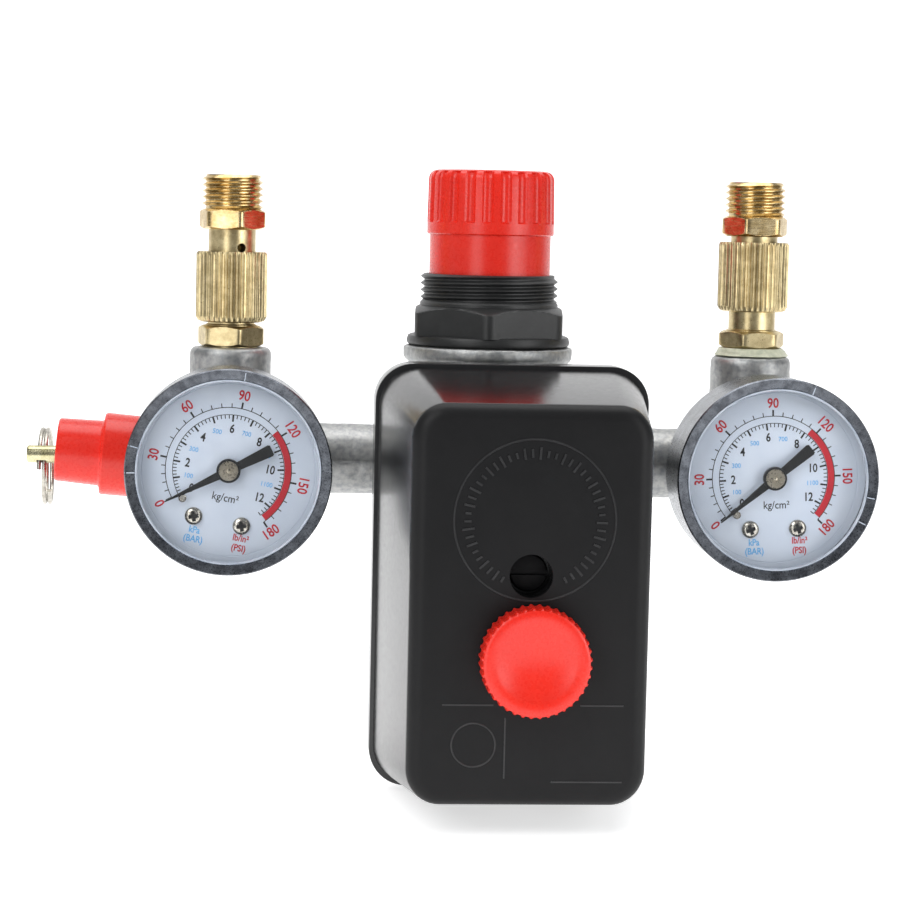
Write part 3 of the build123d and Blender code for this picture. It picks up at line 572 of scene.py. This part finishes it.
# Acrylic lens: clear, polished by its mould, and it lets lamps through
clear_acrylic = bpy.data.materials.new("clear_acrylic")
clear_acrylic.use_nodes = True
clear_acrylic.node_tree.nodes.clear()
place_in_lens = add_node(clear_acrylic, "ShaderNodeTexCoord").outputs["Object"]
haze = add_node(clear_acrylic, "ShaderNodeTexNoise", {"Vector": place_in_lens, "Scale": 400.0})
gloss = add_node(clear_acrylic, "ShaderNodeMapRange",
                 {"Value": haze.outputs["Fac"], "To Min": 0.0, "To Max": 0.02})
acrylic = add_node(clear_acrylic, "ShaderNodeBsdfPrincipled",
                   {"Base Color": linear("#FFFFFF"), "Roughness": gloss.outputs[0], "IOR": 1.49,
                    "Transmission Weight": 1.0})
add_node(clear_acrylic, "ShaderNodeOutputMaterial", {"Surface": acrylic.outputs[0]})

dial_face = 29.0
ink_height = 0.03
zero_mark = -128.0
psi_marks = {0: zero_mark, 30: -90.0, 60: -45.0, 90: 0.0, 120: 45.0, 150: 89.5, 180: 134.0}
psi_per_kg = 14.22


def dial_angle(psi):
    """Where a pressure stands on the dial, clockwise from its top."""
    below = min(int(psi // 30) * 30, 150)
    share = (psi - below) / 30
    return psi_marks[below] + share * (psi_marks[below + 30] - psi_marks[below])


def on_dial(angle, radius, height=0.0):
    """A place on the dial that looks outwards, in the dial's own plane."""
    swing = math.radians(angle)
    spot = Matrix.Translation((radius * math.sin(swing), radius * math.cos(swing), height))
    return spot @ Matrix.Rotation(-swing, 4, "Z")


def level_on_dial(angle, radius):
    """The same place for a figure that stands level instead."""
    return Matrix.Translation(on_dial(angle, radius).translation)


def printed_bar(width, length, angle, radius):
    """One tick, standing outwards from a radius."""
    return block(width, length, ink_height, on_dial(angle, radius + length / 2))


def printed_arc(inner, outer, start, stop):
    """A flat band round the dial, between two angles."""
    mesh = bmesh.new()
    section = ((0, inner, 0), (0, outer, 0), (0, outer, ink_height), (0, inner, ink_height))
    strip = mesh.faces.new([mesh.verts.new(point) for point in section])
    bmesh.ops.rotate(mesh, verts=mesh.verts, cent=(0, 0, 0),
                     matrix=Matrix.Rotation(-math.radians(start), 3, "Z"))
    bmesh.ops.spin(mesh, geom=[strip], cent=(0, 0, 0), axis=(0, 0, -1),
                   angle=math.radians(stop - start), steps=max(2, int((stop - start) / 2)))
    bmesh.ops.recalc_face_normals(mesh, faces=mesh.faces)
    return mesh


def lettered(words, height, place, squeeze=0.8, bold=0.045):
    """Printed figures or a unit's name, centred on a place."""
    text = bpy.data.curves.new("figures", "FONT")
    text.body = words
    text.align_x = "CENTER"
    text.align_y = "CENTER"
    text.size = height / 0.69
    text.extrude = ink_height / 2
    text.offset = bold
    text.resolution_u = 3
    sign = bpy.data.objects.new("figures", text)
    bpy.context.scene.collection.objects.link(sign)
    bpy.context.view_layer.update()
    drawn = sign.evaluated_get(bpy.context.evaluated_depsgraph_get())
    mesh = bmesh.new()
    mesh.from_mesh(drawn.to_mesh())
    drawn.to_mesh_clear()
    bpy.data.objects.remove(sign)
    bpy.data.curves.remove(text)
    bmesh.ops.scale(mesh, vec=(squeeze, 1, 1), verts=mesh.verts)
    bmesh.ops.translate(mesh, vec=(0, 0, ink_height / 2), verts=mesh.verts)
    return moved(mesh, place)


def cross_head(radius, height, place):
    """A pan-head screw whose cross recess takes the second, dark material as painted shade in the recess.
    """
    crown = [(0, height), (radius * 0.55, height * 0.97), (radius * 0.8, height * 0.8),
             (radius * 0.95, height * 0.5), (radius, height * 0.15), (radius, 0), (0, 0)]
    head = turned(crown, Matrix(), 48)
    for turn in (20, 110):
        arm_place = Matrix.Rotation(math.radians(turn), 4, "Z") @ Matrix.Translation((0, 0, height * 0.45))
        head = combined(head, block(radius * 1.15, radius * 0.42, height, arm_place))
    # The faces down in the cross recess take the dark second material, as painted shade
    for patch in head.faces:
        centre = patch.calc_center_median()
        if centre.z < height * 0.8 and centre.xy.length < radius * 0.62:
            patch.material_index = 1
    return moved(head, place)


def painted(mesh, number):
    """Gives every face the piece's material of this number."""
    for patch in mesh.faces:
        patch.material_index = number
    return mesh


def points_in(parts):
    """The corner points among a mesh's parts."""
    return [part for part in parts if isinstance(part, bmesh.types.BMVert)]


round_steps = 160
gauge_turns = {"left": 11.3, "right": -2.3}
tab_angles = {"left": (-90.8, -75.4, 9.1), "right": (100.0, 116.0, 20.0)}
dial_screws = []
for side, turn in gauge_turns.items():
    x = boss_places[side]
    tilt = math.radians(turn)
    dial_across = (math.cos(tilt), 0, -math.sin(tilt))

    stem_end = -span(f"{side}_gauge_stem")[0].y
    stem_bore = 1.2
    stem_place = standing((x, 0, bar_z), FRONT, dial_across)
    nut = hexagonal(port_hex, 13, 17, stem_place, bore=stem_bore)
    shank = turned([(stem_bore, 6), (4.8, 6), (4.8, 13.2), (4.0, 13.2), (4.0, stem_end),
                    (stem_bore, stem_end), (stem_bore, 6)], stem_place, 48)
    made(together(nut, shank), f"{side}_gauge_connection", "manifold", turned_brass,
         [f"{side}_gauge_stem"], edge=25)

    front = standing((x, 0, bar_z), FRONT, RIGHT)
    cup = [(4.1, 17), (19.2, 17), (20.3, 17.3), (21.0, 18.0), (21.25, 19.0), (21.25, 33.2), (21.4, 33.5),
           (21.4, 34.6), (21.15, 35.0), (19.3, 34.75), (19.15, 34.5), (19.15, 34.0), (20.6, 34.0),
           (20.6, 19.2), (19.6, 18), (4.1, 18), (4.1, 17)]
    made(turned(cup, front, round_steps), f"{side}_case", "manifold", black_nickel,
         [f"{side}_gauge_case"], edge=30)

    # The lens rim's lip and three tab lines, in a pale colour that is a painted highlight of their edges
    edge_ring = [(19.15, 34.02), (19.15, 34.62), (19.0, 34.72), (18.85, 34.6), (18.7, 34.02),
                 (19.15, 34.02)]
    rim = [turned(edge_ring, front, round_steps)]
    for angle in tab_angles[side]:
        rim.append(block(0.2, 2.1, 0.12, front @ on_dial(angle, 20.25, 34.84)))
    made(together(*rim), f"{side}_lens_rim_highlight", "manifold", rim_plastic, edge=30)

    flat = standing((x, -dial_face, bar_z), FRONT, dial_across)
    plate = turned([(0.9, -0.5), (19.8, -0.5), (19.8, -0.05), (19.75, 0), (18.15, 0), (18.05, -0.12),
                    (17.95, 0), (0.9, 0), (0.9, -0.5)], Matrix(), round_steps)
    pin = turned([(0, 1.7), (0.6, 1.7), (0.8, 1.55), (0.85, 1.3), (0.85, 0), (0, 0)],
                 on_dial(zero_mark - 5, 11.1), 24)
    black = [printed_arc(13.0, 13.16, zero_mark, psi_marks[180]),
             printed_arc(11.5, 11.64, zero_mark, dial_angle(psi_per_kg * 12.6))]
    for mark in range(31):
        whole = mark % 5 == 0
        reach = 1.3 if whole else 0.85
        black.append(printed_bar(0.38 if whole else 0.2, reach, dial_angle(mark * 6), 13.1))
    for mark in range(64):
        whole = mark % 5 == 0
        reach = 1.4 if whole else 0.8
        angle = dial_angle(mark * 0.2 * psi_per_kg)
        black.append(printed_bar(0.38 if whole else 0.2, reach, angle, 11.55 - reach))
    for kg in range(0, 13, 2):
        spot = level_on_dial(dial_angle(kg * psi_per_kg), 8.6)
        black.append(lettered(str(kg), 1.75, spot, 0.8, 0.06))
    black.append(lettered("kg/cm²", 1.6, Matrix.Translation((0.57, -5.85, 0)), 0.9, 0.015))
    red = [printed_arc(11.68, 13.0, dial_angle(116), dial_angle(178.5))]
    for psi in psi_marks:
        upright_turn = Matrix.Rotation(math.pi if psi == 180 else 0, 4, "Z")
        red.append(lettered(str(psi), 2.0, on_dial(dial_angle(psi), 15.75) @ upright_turn, 0.85, 0.06))
    red.append(lettered("lb/in²", 1.35, Matrix.Translation((5.5, -13.5, 0)), 0.85))
    red.append(lettered("(PSI)", 1.35, Matrix.Translation((5.45, -15.6, 0)), 0.85))
    blue = [lettered("kPa", 1.35, Matrix.Translation((-4.3, -13.7, 0)), 0.85),
            lettered("(BAR)", 1.35, Matrix.Translation((-4.2, -15.6, 0)), 0.85)]
    for kg in range(1, 12, 2):
        spot = level_on_dial(dial_angle(kg * psi_per_kg), 8.4)
        blue.append(lettered(str(kg * 100), 0.95, spot, 0.95, 0.02))
    inks = [painted(together(*prints), number)
            for number, prints in enumerate((black, red, blue), start=2)]
    dial = moved(together(plate, painted(pin, 1), *inks), flat)
    made(dial, f"{side}_dial", "manifold", [dial_lacquer, bright_nickel, black_ink, red_ink, blue_ink],
         [f"{side}_gauge_dial"], edge=30)

    heading = math.radians(turn + zero_mark)
    pointer_place = standing((x, 0, bar_z), FRONT, (math.cos(heading), 0, -math.sin(heading)))
    blade = bmesh.new()
    corners = [(-0.12, 14.7), (0.12, 14.7), (0.85, 2.0), (0.85, -2.0), (1.25, -9.6), (1.0, -10),
               (-1.0, -10), (-1.25, -9.6), (-0.85, -2.0), (-0.85, 2.0)]
    sheet = blade.faces.new([blade.verts.new((across, along, 30.4)) for across, along in reversed(corners)])
    thick = bmesh.ops.extrude_face_region(blade, geom=[sheet])["geom"]
    bmesh.ops.translate(blade, vec=(0, 0, 0.4), verts=points_in(thick))
    bmesh.ops.recalc_face_normals(blade, faces=blade.faces)
    boss = turned([(0, 30.05), (2.4, 30.05), (2.5, 30.15), (2.5, 31.1), (2.4, 31.25), (0, 31.25)],
                  Matrix(), 64)
    boss = together(blade, boss)
    hub = turned([(0, 31.0), (2.05, 31.0), (2.05, 31.28), (1.95, 31.38), (0.55, 31.4), (0.45, 31.28),
                  (0.3, 31.36), (0, 31.38)], Matrix(), 64)
    spindle = turned([(0, 24.2), (0.6, 24.2), (0.6, 30.2), (0, 30.2)], Matrix(), 24)
    pinion = turned([(0.5, 25.5), (1.25, 25.5), (1.25, 27.0), (0.5, 27.0), (0.5, 25.5)], Matrix(), 48)
    metal = painted(together(hub, spindle, pinion), 1)
    made(moved(together(boss, metal), pointer_place), f"{side}_needle", f"{side}_pointer",
         [black_lacquer, nickel_plate], [f"{side}_gauge_pointer"], edge=30)

    lens = turned([(0, 32.9), (20.4, 32.9), (20.5, 33.0), (20.5, 33.85), (20.4, 33.95), (0, 33.95)],
                  front, round_steps)
    window = made(lens, f"{side}_window", "manifold", clear_acrylic,
                  [f"{side}_gauge_lens"], edge=30)
    window.visible_shadow = False

    swing = math.radians(25)
    for hand in (-1, 1):
        place = flat @ Matrix.Translation((hand * 12 * math.sin(swing), -12 * math.cos(swing), 0))
        dial_screws.append(cross_head(1.85, 0.9, place))
        dial_screws.append(round_bar(0.7, 1.5, place @ Matrix.Translation((0, 0, -1.45)), 24))
    keep(turned_brass, f"{side}_gauge_sector")

# Black lacquer in the dial screws' cross recesses is painted shade
made(together(*dial_screws), "dial_screw_set", "manifold", [bright_nickel, black_lacquer],
     ["dial_screws"], edge=28)
keep(turned_brass, "gauge_movements")
keep(pickled_brass, "bourdon_tubes")

# ---- Safety valve --------------------------------------------------------
# Brass body screwed into the left end port, a red cap pressed loosely over
# it, a zinc-plated stem through the cap, and a split ring to pull it by.

# Yellow-passivated zinc plate: pale brass colour with a rainbow cast
yellow_zinc = surface("yellow_zinc", "#B4AC80", "#D2CDA8", (0.20, 0.32), 0.3, 0.002,
                      metallic=1.0, patch=3.0)
body_low, body_high = span("safety_valve_body")
leftwards = standing((body_high.x, 0, bar_z), LEFT, BACK)
safety_foot = body_high.x - body_low.x
hex_start = 7.5
safety_bore = 3.0
safety = together(
    hexagonal(port_hex, hex_start, hex_start + 5, leftwards, bore=safety_bore),
    turned([(safety_bore, 0), (port_thread_radius, 0), (port_thread_radius, hex_start), (6.2, hex_start),
            (6.2, safety_foot - 0.4), (5.9, safety_foot), (4.5, safety_foot), (4.5, safety_foot - 11.5),
            (safety_bore, safety_foot - 11.5), (safety_bore, 0)], leftwards, 64))
made(safety, "safety_body", "manifold", turned_brass, ["safety_valve_body"], edge=28)
keep(turned_brass, "safety_valve_nut")
keep(spring_wire, "safety_valve_spring")

cap_tilt = math.radians(4.5)
cap_place = standing((-79.4, 0, bar_z), (-math.cos(cap_tilt), 0, math.sin(cap_tilt)), BACK)
cap = [(7.4, -4), (8.55, -4), (8.85, -3.7), (8.95, 4.0), (8.7, 4.4), (7.4, 4.55), (7.12, 4.9),
       (6.85, 13.9), (6.6, 14.25), (3.5, 14.3), (3.3, 14.1), (3.3, 12.8), (5.2, 12.8), (5.2, 3.7),
       (7.4, 3.7), (7.4, -4)]
made(turned(cap, cap_place, 128), "safety_cap", "manifold", red_polypropylene,
     ["safety_valve_cap"], edge=30)

stem_low, stem_high = span("safety_valve_stem")
ring_x = -96.9
ring_lean = math.radians(24)
stem_radius = 1.9
stem_disc = 4.3
stem_length = stem_high.x - stem_low.x
stem = turned([(0, 0), (1.5, 0), (1.75, 0.12), (stem_radius, 0.4), (stem_radius, stem_length - 2),
               (stem_disc, stem_length - 1.95), (stem_disc, stem_length), (0, stem_length)],
              standing((stem_low.x, 0, bar_z), RIGHT, BACK), 64)
hole_up = Vector((0, math.sin(ring_lean), math.cos(ring_lean)))
cross_hole = block(2.1, 1.7, 6, standing(Vector((ring_x, 0, bar_z)) - hole_up * 3, hole_up, RIGHT))
made(combined(stem, cross_hole), "safety_stem_pin", "safety_stem", yellow_zinc,
     ["safety_valve_stem"], edge=28)

# Nickel plate on the ring's spring wire, rubbed dull by keys and fingers
ring_nickel = surface("ring_nickel", "#A09C92", "#C8C4BA", (0.22, 0.36), 0.3, 0.006,
                      metallic=1.0, patch=1.5)
ring_radius = 8.1
ring_wire = 0.44
ring = bmesh.new()
wire = bmesh.ops.create_circle(ring, cap_ends=True, radius=ring_wire, segments=16)["verts"]
bmesh.ops.scale(ring, vec=(1.1, 1, 1), verts=wire)
ring_middle = Vector((ring_x, ring_radius * math.cos(ring_lean), bar_z - ring_radius * math.sin(ring_lean)))
ring.transform(standing(ring_middle + Vector((-0.6, -ring_radius, 0)), UP, RIGHT))
ring_coils = 1.9
ring_spread = 2.2
ring_steps = 150
bmesh.ops.spin(ring, geom=ring.faces[:], cent=ring_middle, axis=(1, 0, 0),
               dvec=(ring_spread / ring_steps, 0, 0), angle=-math.tau * ring_coils, steps=ring_steps)
bmesh.ops.recalc_face_normals(ring, faces=ring.faces)
made(ring, "split_ring", "pull_ring", ring_nickel, ["safety_valve_ring"], edge=40)

# ---- Pressure switch: diaphragm housing ----------------------------------
# Zinc casting that screws onto the switch port and clamps the diaphragm
# against the base with four cross-head screws from behind.


def rounded_plate(width, height, corner, steps=8):
    """A flat rectangle with round corners, to be drawn out."""
    mesh = bmesh.new()
    bmesh.ops.create_grid(mesh, x_segments=1, y_segments=1, size=0.5)
    bmesh.ops.scale(mesh, vec=(width, height, 1), verts=mesh.verts)
    bmesh.ops.bevel(mesh, geom=mesh.verts[:], offset=corner, offset_type="OFFSET", segments=steps,
                    profile=0.5, affect="VERTICES", material=-1)
    return mesh, mesh.faces[:][0]


def drawn_out(mesh, face, height, scale=(1, 1)):
    """Draws a face out along the axis, and scales the end; gives the end."""
    parts = bmesh.ops.extrude_face_region(mesh, geom=[face])["geom"]
    points = points_in(parts)
    bmesh.ops.scale(mesh, vec=(scale[0], scale[1], 1), verts=points)
    bmesh.ops.translate(mesh, vec=(0, 0, height), verts=points)
    return [part for part in parts if isinstance(part, bmesh.types.BMFace)][0]


def softened(mesh, edges, width, steps=3):
    """Rounds the given edges."""
    bmesh.ops.bevel(mesh, geom=edges, offset=width, offset_type="OFFSET", segments=steps, profile=0.5,
                    affect="EDGES", material=-1, clamp_overlap=True)
    return mesh


plate, face = rounded_plate(40, 40, 4)
drawn_out(plate, face, 4)
bmesh.ops.recalc_face_normals(plate, faces=plate.faces)
softened(plate, [edge for edge in plate.edges if all(point.co.z < 0.01 for point in edge.verts)], 0.8)
housing = together(
    moved(plate, switch_port @ Matrix.Translation((0, 0, 18))),
    turned([(2.0, 7.2), (6.5, 7.2), (6.5, 14), (9.2, 14), (9.6, 14.3), (14.3, 14.6), (15.0, 15.3),
            (15.6, 18.3), (2.0, 18.3), (2.0, 7.2)], switch_port))
made(housing, "switch_housing", "manifold", die_cast_zinc, ["diaphragm_housing"], edge=35)
heads = []
for across in (-15.5, 15.5):
    for up in (-15.5, 15.5):
        spot = standing((switch_x + across, -18, switch_port_z + up), BACK, RIGHT)
        heads.append(cross_head(3.4, 3.0, spot))
        heads.append(round_bar(2.0, 6.4, spot @ Matrix.Translation((0, 0, -6.4)), 32))
# Black lacquer in the housing screws' cross recesses is painted shade
made(together(*heads), "housing_screw_set", "manifold", [zinc_plated_steel, black_lacquer],
     ["housing_screws"], edge=28)
keep(nitrile_rubber, "switch_diaphragm")

# ---- Pressure switch: base -----------------------------------------------
# Black moulded pan with round corners. The cover stands on its rim, a small
# step inside its edge.

# ABS, moulded and glossy: the drafted sides mirror what stands round them
gloss_abs = surface("gloss_abs", "#181819", "#1D1D1E", (0.17, 0.24), 0.9, 0.003, patch=12.0,
                    **{"IOR": 1.54})
# The same ABS where the mould was etched fine: the front stays dark and even
etched_abs = surface("etched_abs", "#131314", "#161617", (0.40, 0.50), 0.35, 0.005, patch=12.0,
                     **{"IOR": 1.5, "Specular IOR Level": 0.2})
# The same ABS on the raised marks, a shade greyer: a painted highlight of the light their raised edges
# catch
rubbed_abs = surface("rubbed_abs", "#1F1F20", "#262627", (0.3, 0.4), 0.35, 0.004, patch=3.0)
base_low, base_high = span("switch_base")
box_z = (base_low.z + base_high.z) / 2
base_width = base_high.x - base_low.x
base_height = base_high.z - base_low.z
pan, face = rounded_plate(base_width, base_height, 8, 12)
rim_face = drawn_out(pan, face, 8)
bmesh.ops.inset_region(pan, faces=[rim_face], thickness=2.0, use_even_offset=True)
drawn_out(pan, rim_face, -5.5)
bmesh.ops.recalc_face_normals(pan, faces=pan.faces)


def at_pan_edge(point):
    """Whether a point of the pan lies along its outside, corners included."""
    past_side = max(abs(point.x) - base_width / 2, abs(point.y) - base_height / 2)
    return past_side > -1.9 or (past_side > -2.41 and point.xy.length > 45)


softened(pan, [edge for edge in pan.edges if edge.is_manifold and edge.calc_face_angle() > 1.2
               and at_pan_edge(edge.verts[0].co)], 0.7)
made(moved(pan, standing((switch_x, -22, box_z), FRONT)), "base_pan", "manifold", gloss_abs,
     ["switch_base"], edge=32)

# ---- Pressure switch: mechanism ------------------------------------------
# Piston, lever, springs and contacts, all shut in by the cover.

# Phenolic moulding of the contact block: dark brown-black
phenolic = surface("phenolic", "#241C18", "#2E2520", (0.35, 0.5), 0.4, 0.01)
# Electrolytic copper strip
copper_strip = surface("copper_strip", "#A5603C", "#C98058", (0.2, 0.35), 0.3, 0.006, metallic=1.0)
keep(phenolic, "contact_block", "switch_piston")
keep(zinc_plated_steel, "lever_pin", "contact_lever", "spring_bridge", "range_screws", "terminal_screws")
keep(spring_wire, "range_springs")
keep(copper_strip, "fixed_contacts", "moving_contacts")
keep(black_nylon, "knob_rod")

# ---- Pressure switch: cover ----------------------------------------------
# Deep black ABS cover, moulded with draft so that its front is smaller than
# its rim. One long screw holds it, at the bottom of a round well.

cover_low = span("switch_cover")[0]
cover_back = -30.0
cover_depth = cover_back - cover_low.y
back_width = base_width - 1.6
back_height = base_height - 1.6
draft = 9.0
narrowing = ((back_width - draft) / back_width, (back_height - draft) / back_height)
cover, back_face = rounded_plate(back_width, back_height, 8, 12)
front_face = drawn_out(cover, back_face, cover_depth, narrowing)
bmesh.ops.recalc_face_normals(cover, faces=cover.faces)
softened(cover, front_face.edges[:], 2.8, 6)
inner, inner_face = rounded_plate(back_width - 4, back_height - 4, 6, 12)
drawn_out(inner, inner_face, cover_depth - 1.9, narrowing)
bmesh.ops.recalc_face_normals(inner, faces=inner.faces)
bmesh.ops.translate(inner, vec=(0, 0, -0.1), verts=inner.verts)
cover = combined(cover, inner)
box_place = standing((switch_x, cover_back, box_z), FRONT)
cover = moved(cover, box_place)
well_radius = 4.25
well = turned([(2.1, 62.5), (6.2, 62.5), (6.2, 70.6), (well_radius, 70.6), (well_radius, 64.5),
               (2.1, 64.5), (2.1, 62.5)], switch_port, 64)
cover = combined(cover, round_bar(well_radius, 12, switch_port @ Matrix.Translation((0, 0, 64)), 64))
knob_place = standing((3.5, 0, 4.3), FRONT)
cover = combined(cover, round_bar(6.3, 6, knob_place @ Matrix.Translation((0, 0, 68)), 64))
draft_angle = math.atan(draft / 2 / cover_depth)
gland_depth = 16
wall_z = box_z - back_height / 2 + gland_depth * draft / 2 / cover_depth
gland_way = (0, -math.sin(draft_angle), -math.cos(draft_angle))
gland_places = [standing((switch_x + across, cover_back - gland_depth, wall_z), gland_way, RIGHT)
                for across in (-9, 9)]
for place in gland_places:
    cover = combined(cover, round_bar(7.0, 6, place @ Matrix.Translation((0, 0, -4)), 64))
for patch in cover.faces:
    patch.material_index = 1 if patch.normal.y < -0.3 else 0
cover = together(cover, well)
made(cover, "cover", "manifold", [gloss_abs, etched_abs], ["switch_cover"], edge=30)

# Moulded marks on the cover's front: a ring with a band of plain strokes
# round the well, thin frame lines and one blank round field. They stand a
# few tenths of a millimetre proud.
front_place = standing((0, cover_low.y + 0.02, 0), FRONT)
ring_place = front_place @ Matrix.Translation((3.2, 31.3, 0))


def raised_ring(radius, width, height, place):
    """A low ring with sloping sides."""
    return turned([(radius - width / 2, 0), (radius - width / 4, height), (radius + width / 4, height),
                   (radius + width / 2, 0), (radius - width / 2, 0)], place, 120)


marks = [raised_ring(15.8, 0.45, 0.16, ring_place),
         raised_ring(4.3, 0.4, 0.12, front_place @ Matrix.Translation((-7.9, -12.9, 0)))]
stroke_count = 46
band_angle = 304
for number in range(stroke_count):
    angle = -band_angle / 2 + number * band_angle / (stroke_count - 1)
    tall = (1.2, 2.2, 1.7, 2.4, 1.4)[number % 5]
    marks.append(block(0.45, tall, 0.22, ring_place @ on_dial(angle, 13.1)))
frame_lines = ((-9.1, -5.0, 10.0, 0.3), (17.2, -5.0, 8.5, 0.3), (14.5, -20.15, 14.0, 0.3),
               (-1.75, -13.5, 0.3, 12.0))
for centre_x, centre_z, wide, tall in frame_lines:
    marks.append(block(wide, tall, 0.1, front_place @ Matrix.Translation((centre_x, centre_z, 0))))
# The raised marks take the greyer ABS, a painted highlight
made(together(*marks), "cover_marks", "manifold", rubbed_abs, edge=30)

# ---- Cover screw, grommets and on-off knob -------------------------------
# A slotted steel screw deep in the well, two rubber grommets in the bottom
# wall for the cables, and the red knob that is pulled for on and pushed for
# off. The knob's rim is serrated and its face has a shallow round field.

# Black oxide on steel: an even, oily black
black_oxide = surface("black_oxide", "#141415", "#1C1C1D", (0.4, 0.55), 0.3, 0.006, metallic=0.8)
head = turned([(0, 64.5), (3.8, 64.5), (3.8, 66.4), (3.5, 66.9), (2.8, 67.0), (0, 67.0)], switch_port, 64)
slotted = combined(head, block(9, 0.9, 2, switch_port @ Matrix.Translation((0, 0, 66.2))))
slotted = together(slotted, round_bar(1.95, 6.5, switch_port @ Matrix.Translation((0, 0, 58.1)), 32))
made(slotted, "cover_screw_slotted", "manifold", black_oxide, ["cover_screw"], edge=28)

glands = []
for place in gland_places:
    glands.append(turned([(4.5, -4.1), (8.3, -4.1), (8.5, -3.9), (8.5, -2.8), (8.3, -2.6), (6.95, -2.6),
                          (6.95, 0.05), (8.3, 0.05), (8.5, 0.3), (8.4, 1.1), (7.9, 1.5), (5.4, 1.55),
                          (4.9, 1.3), (4.5, 0.9), (4.5, -4.1)], place, 64))
made(together(*glands), "grommet_pair", "manifold", nitrile_rubber, ["cable_grommets"], edge=35)

button_front = -span("on_off_knob")[0].y
button_radius = 10.85
button_fillet = 1.2
rod_bore = 3.05
serrations = 40
outline = [(rod_bore, 64), (6.0, 64), (6.0, 72.6), (10.3, 72.6), (button_radius, 73.0),
           (button_radius, 74.5), (button_radius, 76.0)]
for i in range(6):
    swing = math.radians(18 * i)
    outline.append((button_radius - button_fillet * (1 - math.cos(swing)),
                    button_front - button_fillet * (1 - math.sin(swing))))
outline += [(7.5, button_front), (7.1, button_front - 0.3), (0, button_front - 0.35), (0, 70),
            (rod_bore, 70), (rod_bore, 64)]
button = scalloped(turned(outline, Matrix(), serrations * 10), serrations, 1.15, 0.38, 72.5,
                   button_front - 0.25, 9.9)
made(moved(button, knob_place), "on_off_button", "on_off_knob", red_polypropylene,
     ["on_off_knob"], edge=38)

# ---- Stage, lights and camera --------------------------------------------
# A pale floor that curves up into a backdrop, soft light from large panels,
# and a long lens a little above the middle of the part, from the front left.

stage = bmesh.new()
floor_front = -0.32
floor_back = 0.9
sweep_radius = 0.6
half_width = 2.2
sweep = [(floor_front, 0), (floor_back, 0)]
for i in range(1, 7):
    swing = math.radians(15 * i)
    sweep.append((floor_back + sweep_radius * math.sin(swing),
                  sweep_radius - sweep_radius * math.cos(swing)))
sweep.append((floor_back + sweep_radius, 2.6))
floor_level = base_low.z * MM - 0.0015
line = [stage.verts.new((-half_width, y, z + floor_level)) for y, z in sweep]
edges = [stage.edges.new(pair) for pair in zip(line, line[1:])]
drawn = bmesh.ops.extrude_edge_only(stage, edges=edges)["geom"]
bmesh.ops.translate(stage, vec=(2 * half_width, 0, 0), verts=points_in(drawn))
# Matt paper, lit from behind, so that it stays pale and plain
paper = surface("backdrop_paper", "#F4F4F4", "#F8F8F8", (0.8, 0.9), 2.0, 0.0, patch=200.0,
                **{"Emission Color": linear("#FFFFFF"), "Emission Strength": 0.62})
data = bpy.data.meshes.new("backdrop")
stage.to_mesh(data)
stage.free()
data.shade_smooth()
data.materials.append(paper)
backdrop = bpy.data.objects.new("backdrop", data)
bpy.context.scene.collection.objects.link(backdrop)

world = bpy.data.worlds.new("studio")
bpy.context.scene.world = world
world.use_nodes = True
world.node_tree.nodes["Background"].inputs["Color"].default_value = linear("#F2F5FA")
world.node_tree.nodes["Background"].inputs["Strength"].default_value = 0.22


def panel(name, place, aim, size, power):
    """A soft light panel that looks at a point."""
    light = bpy.data.lights.new(name, "AREA")
    light.shape = "RECTANGLE"
    light.size = size[0]
    light.size_y = size[1]
    light.energy = power
    lamp = bpy.data.objects.new(name, light)
    lamp.location = place
    lamp.rotation_euler = (Vector(aim) - Vector(place)).to_track_quat("-Z", "Y").to_euler()
    bpy.context.scene.collection.objects.link(lamp)
    return lamp


part_centre = (0, -0.02, 0.03)
card_size = (0.34, 0.5)
panel("key_panel", (-0.65, -0.75, 0.75), part_centre, (0.7, 0.7), 6)
panel("fill_panel", (0.8, -0.6, 0.35), part_centre, (0.5, 0.9), 3)
panel("left_card", (-0.50, -0.85, 0.0), part_centre, card_size, 1.3)
panel("right_card", (0.62, -0.75, 0.0), part_centre, card_size, 1.3)
panel("top_panel", (0, 0.1, 1.0), part_centre, (1.2, 0.7), 8)

camera_data = bpy.data.cameras.new("camera")
camera = bpy.data.objects.new("camera", camera_data)
bpy.context.scene.collection.objects.link(camera)
bpy.context.scene.camera = camera
camera_data.sensor_width = 36
camera_data.lens = 105.38
camera_data.clip_start = 0.01
camera_data.clip_end = 20
yaw = math.radians(4.669)
pitch = math.radians(5.224)
roll = math.radians(1.277)
look = Vector((math.sin(yaw) * math.cos(pitch), math.cos(yaw) * math.cos(pitch), -math.sin(pitch)))
level_right = look.cross(Vector(UP)).normalized()
level_up = level_right.cross(look)
camera_right = level_right * math.cos(roll) + level_up * math.sin(roll)
camera_up = level_up * math.cos(roll) - level_right * math.sin(roll)
facing = Matrix((camera_right, camera_up, -look)).transposed().to_4x4()
camera_spot = Vector((-54.87, -576.05, 91.04))
camera.matrix_world = Matrix.Translation(camera_spot * MM) @ facing
bpy.context.scene.view_settings.view_transform = "Standard"
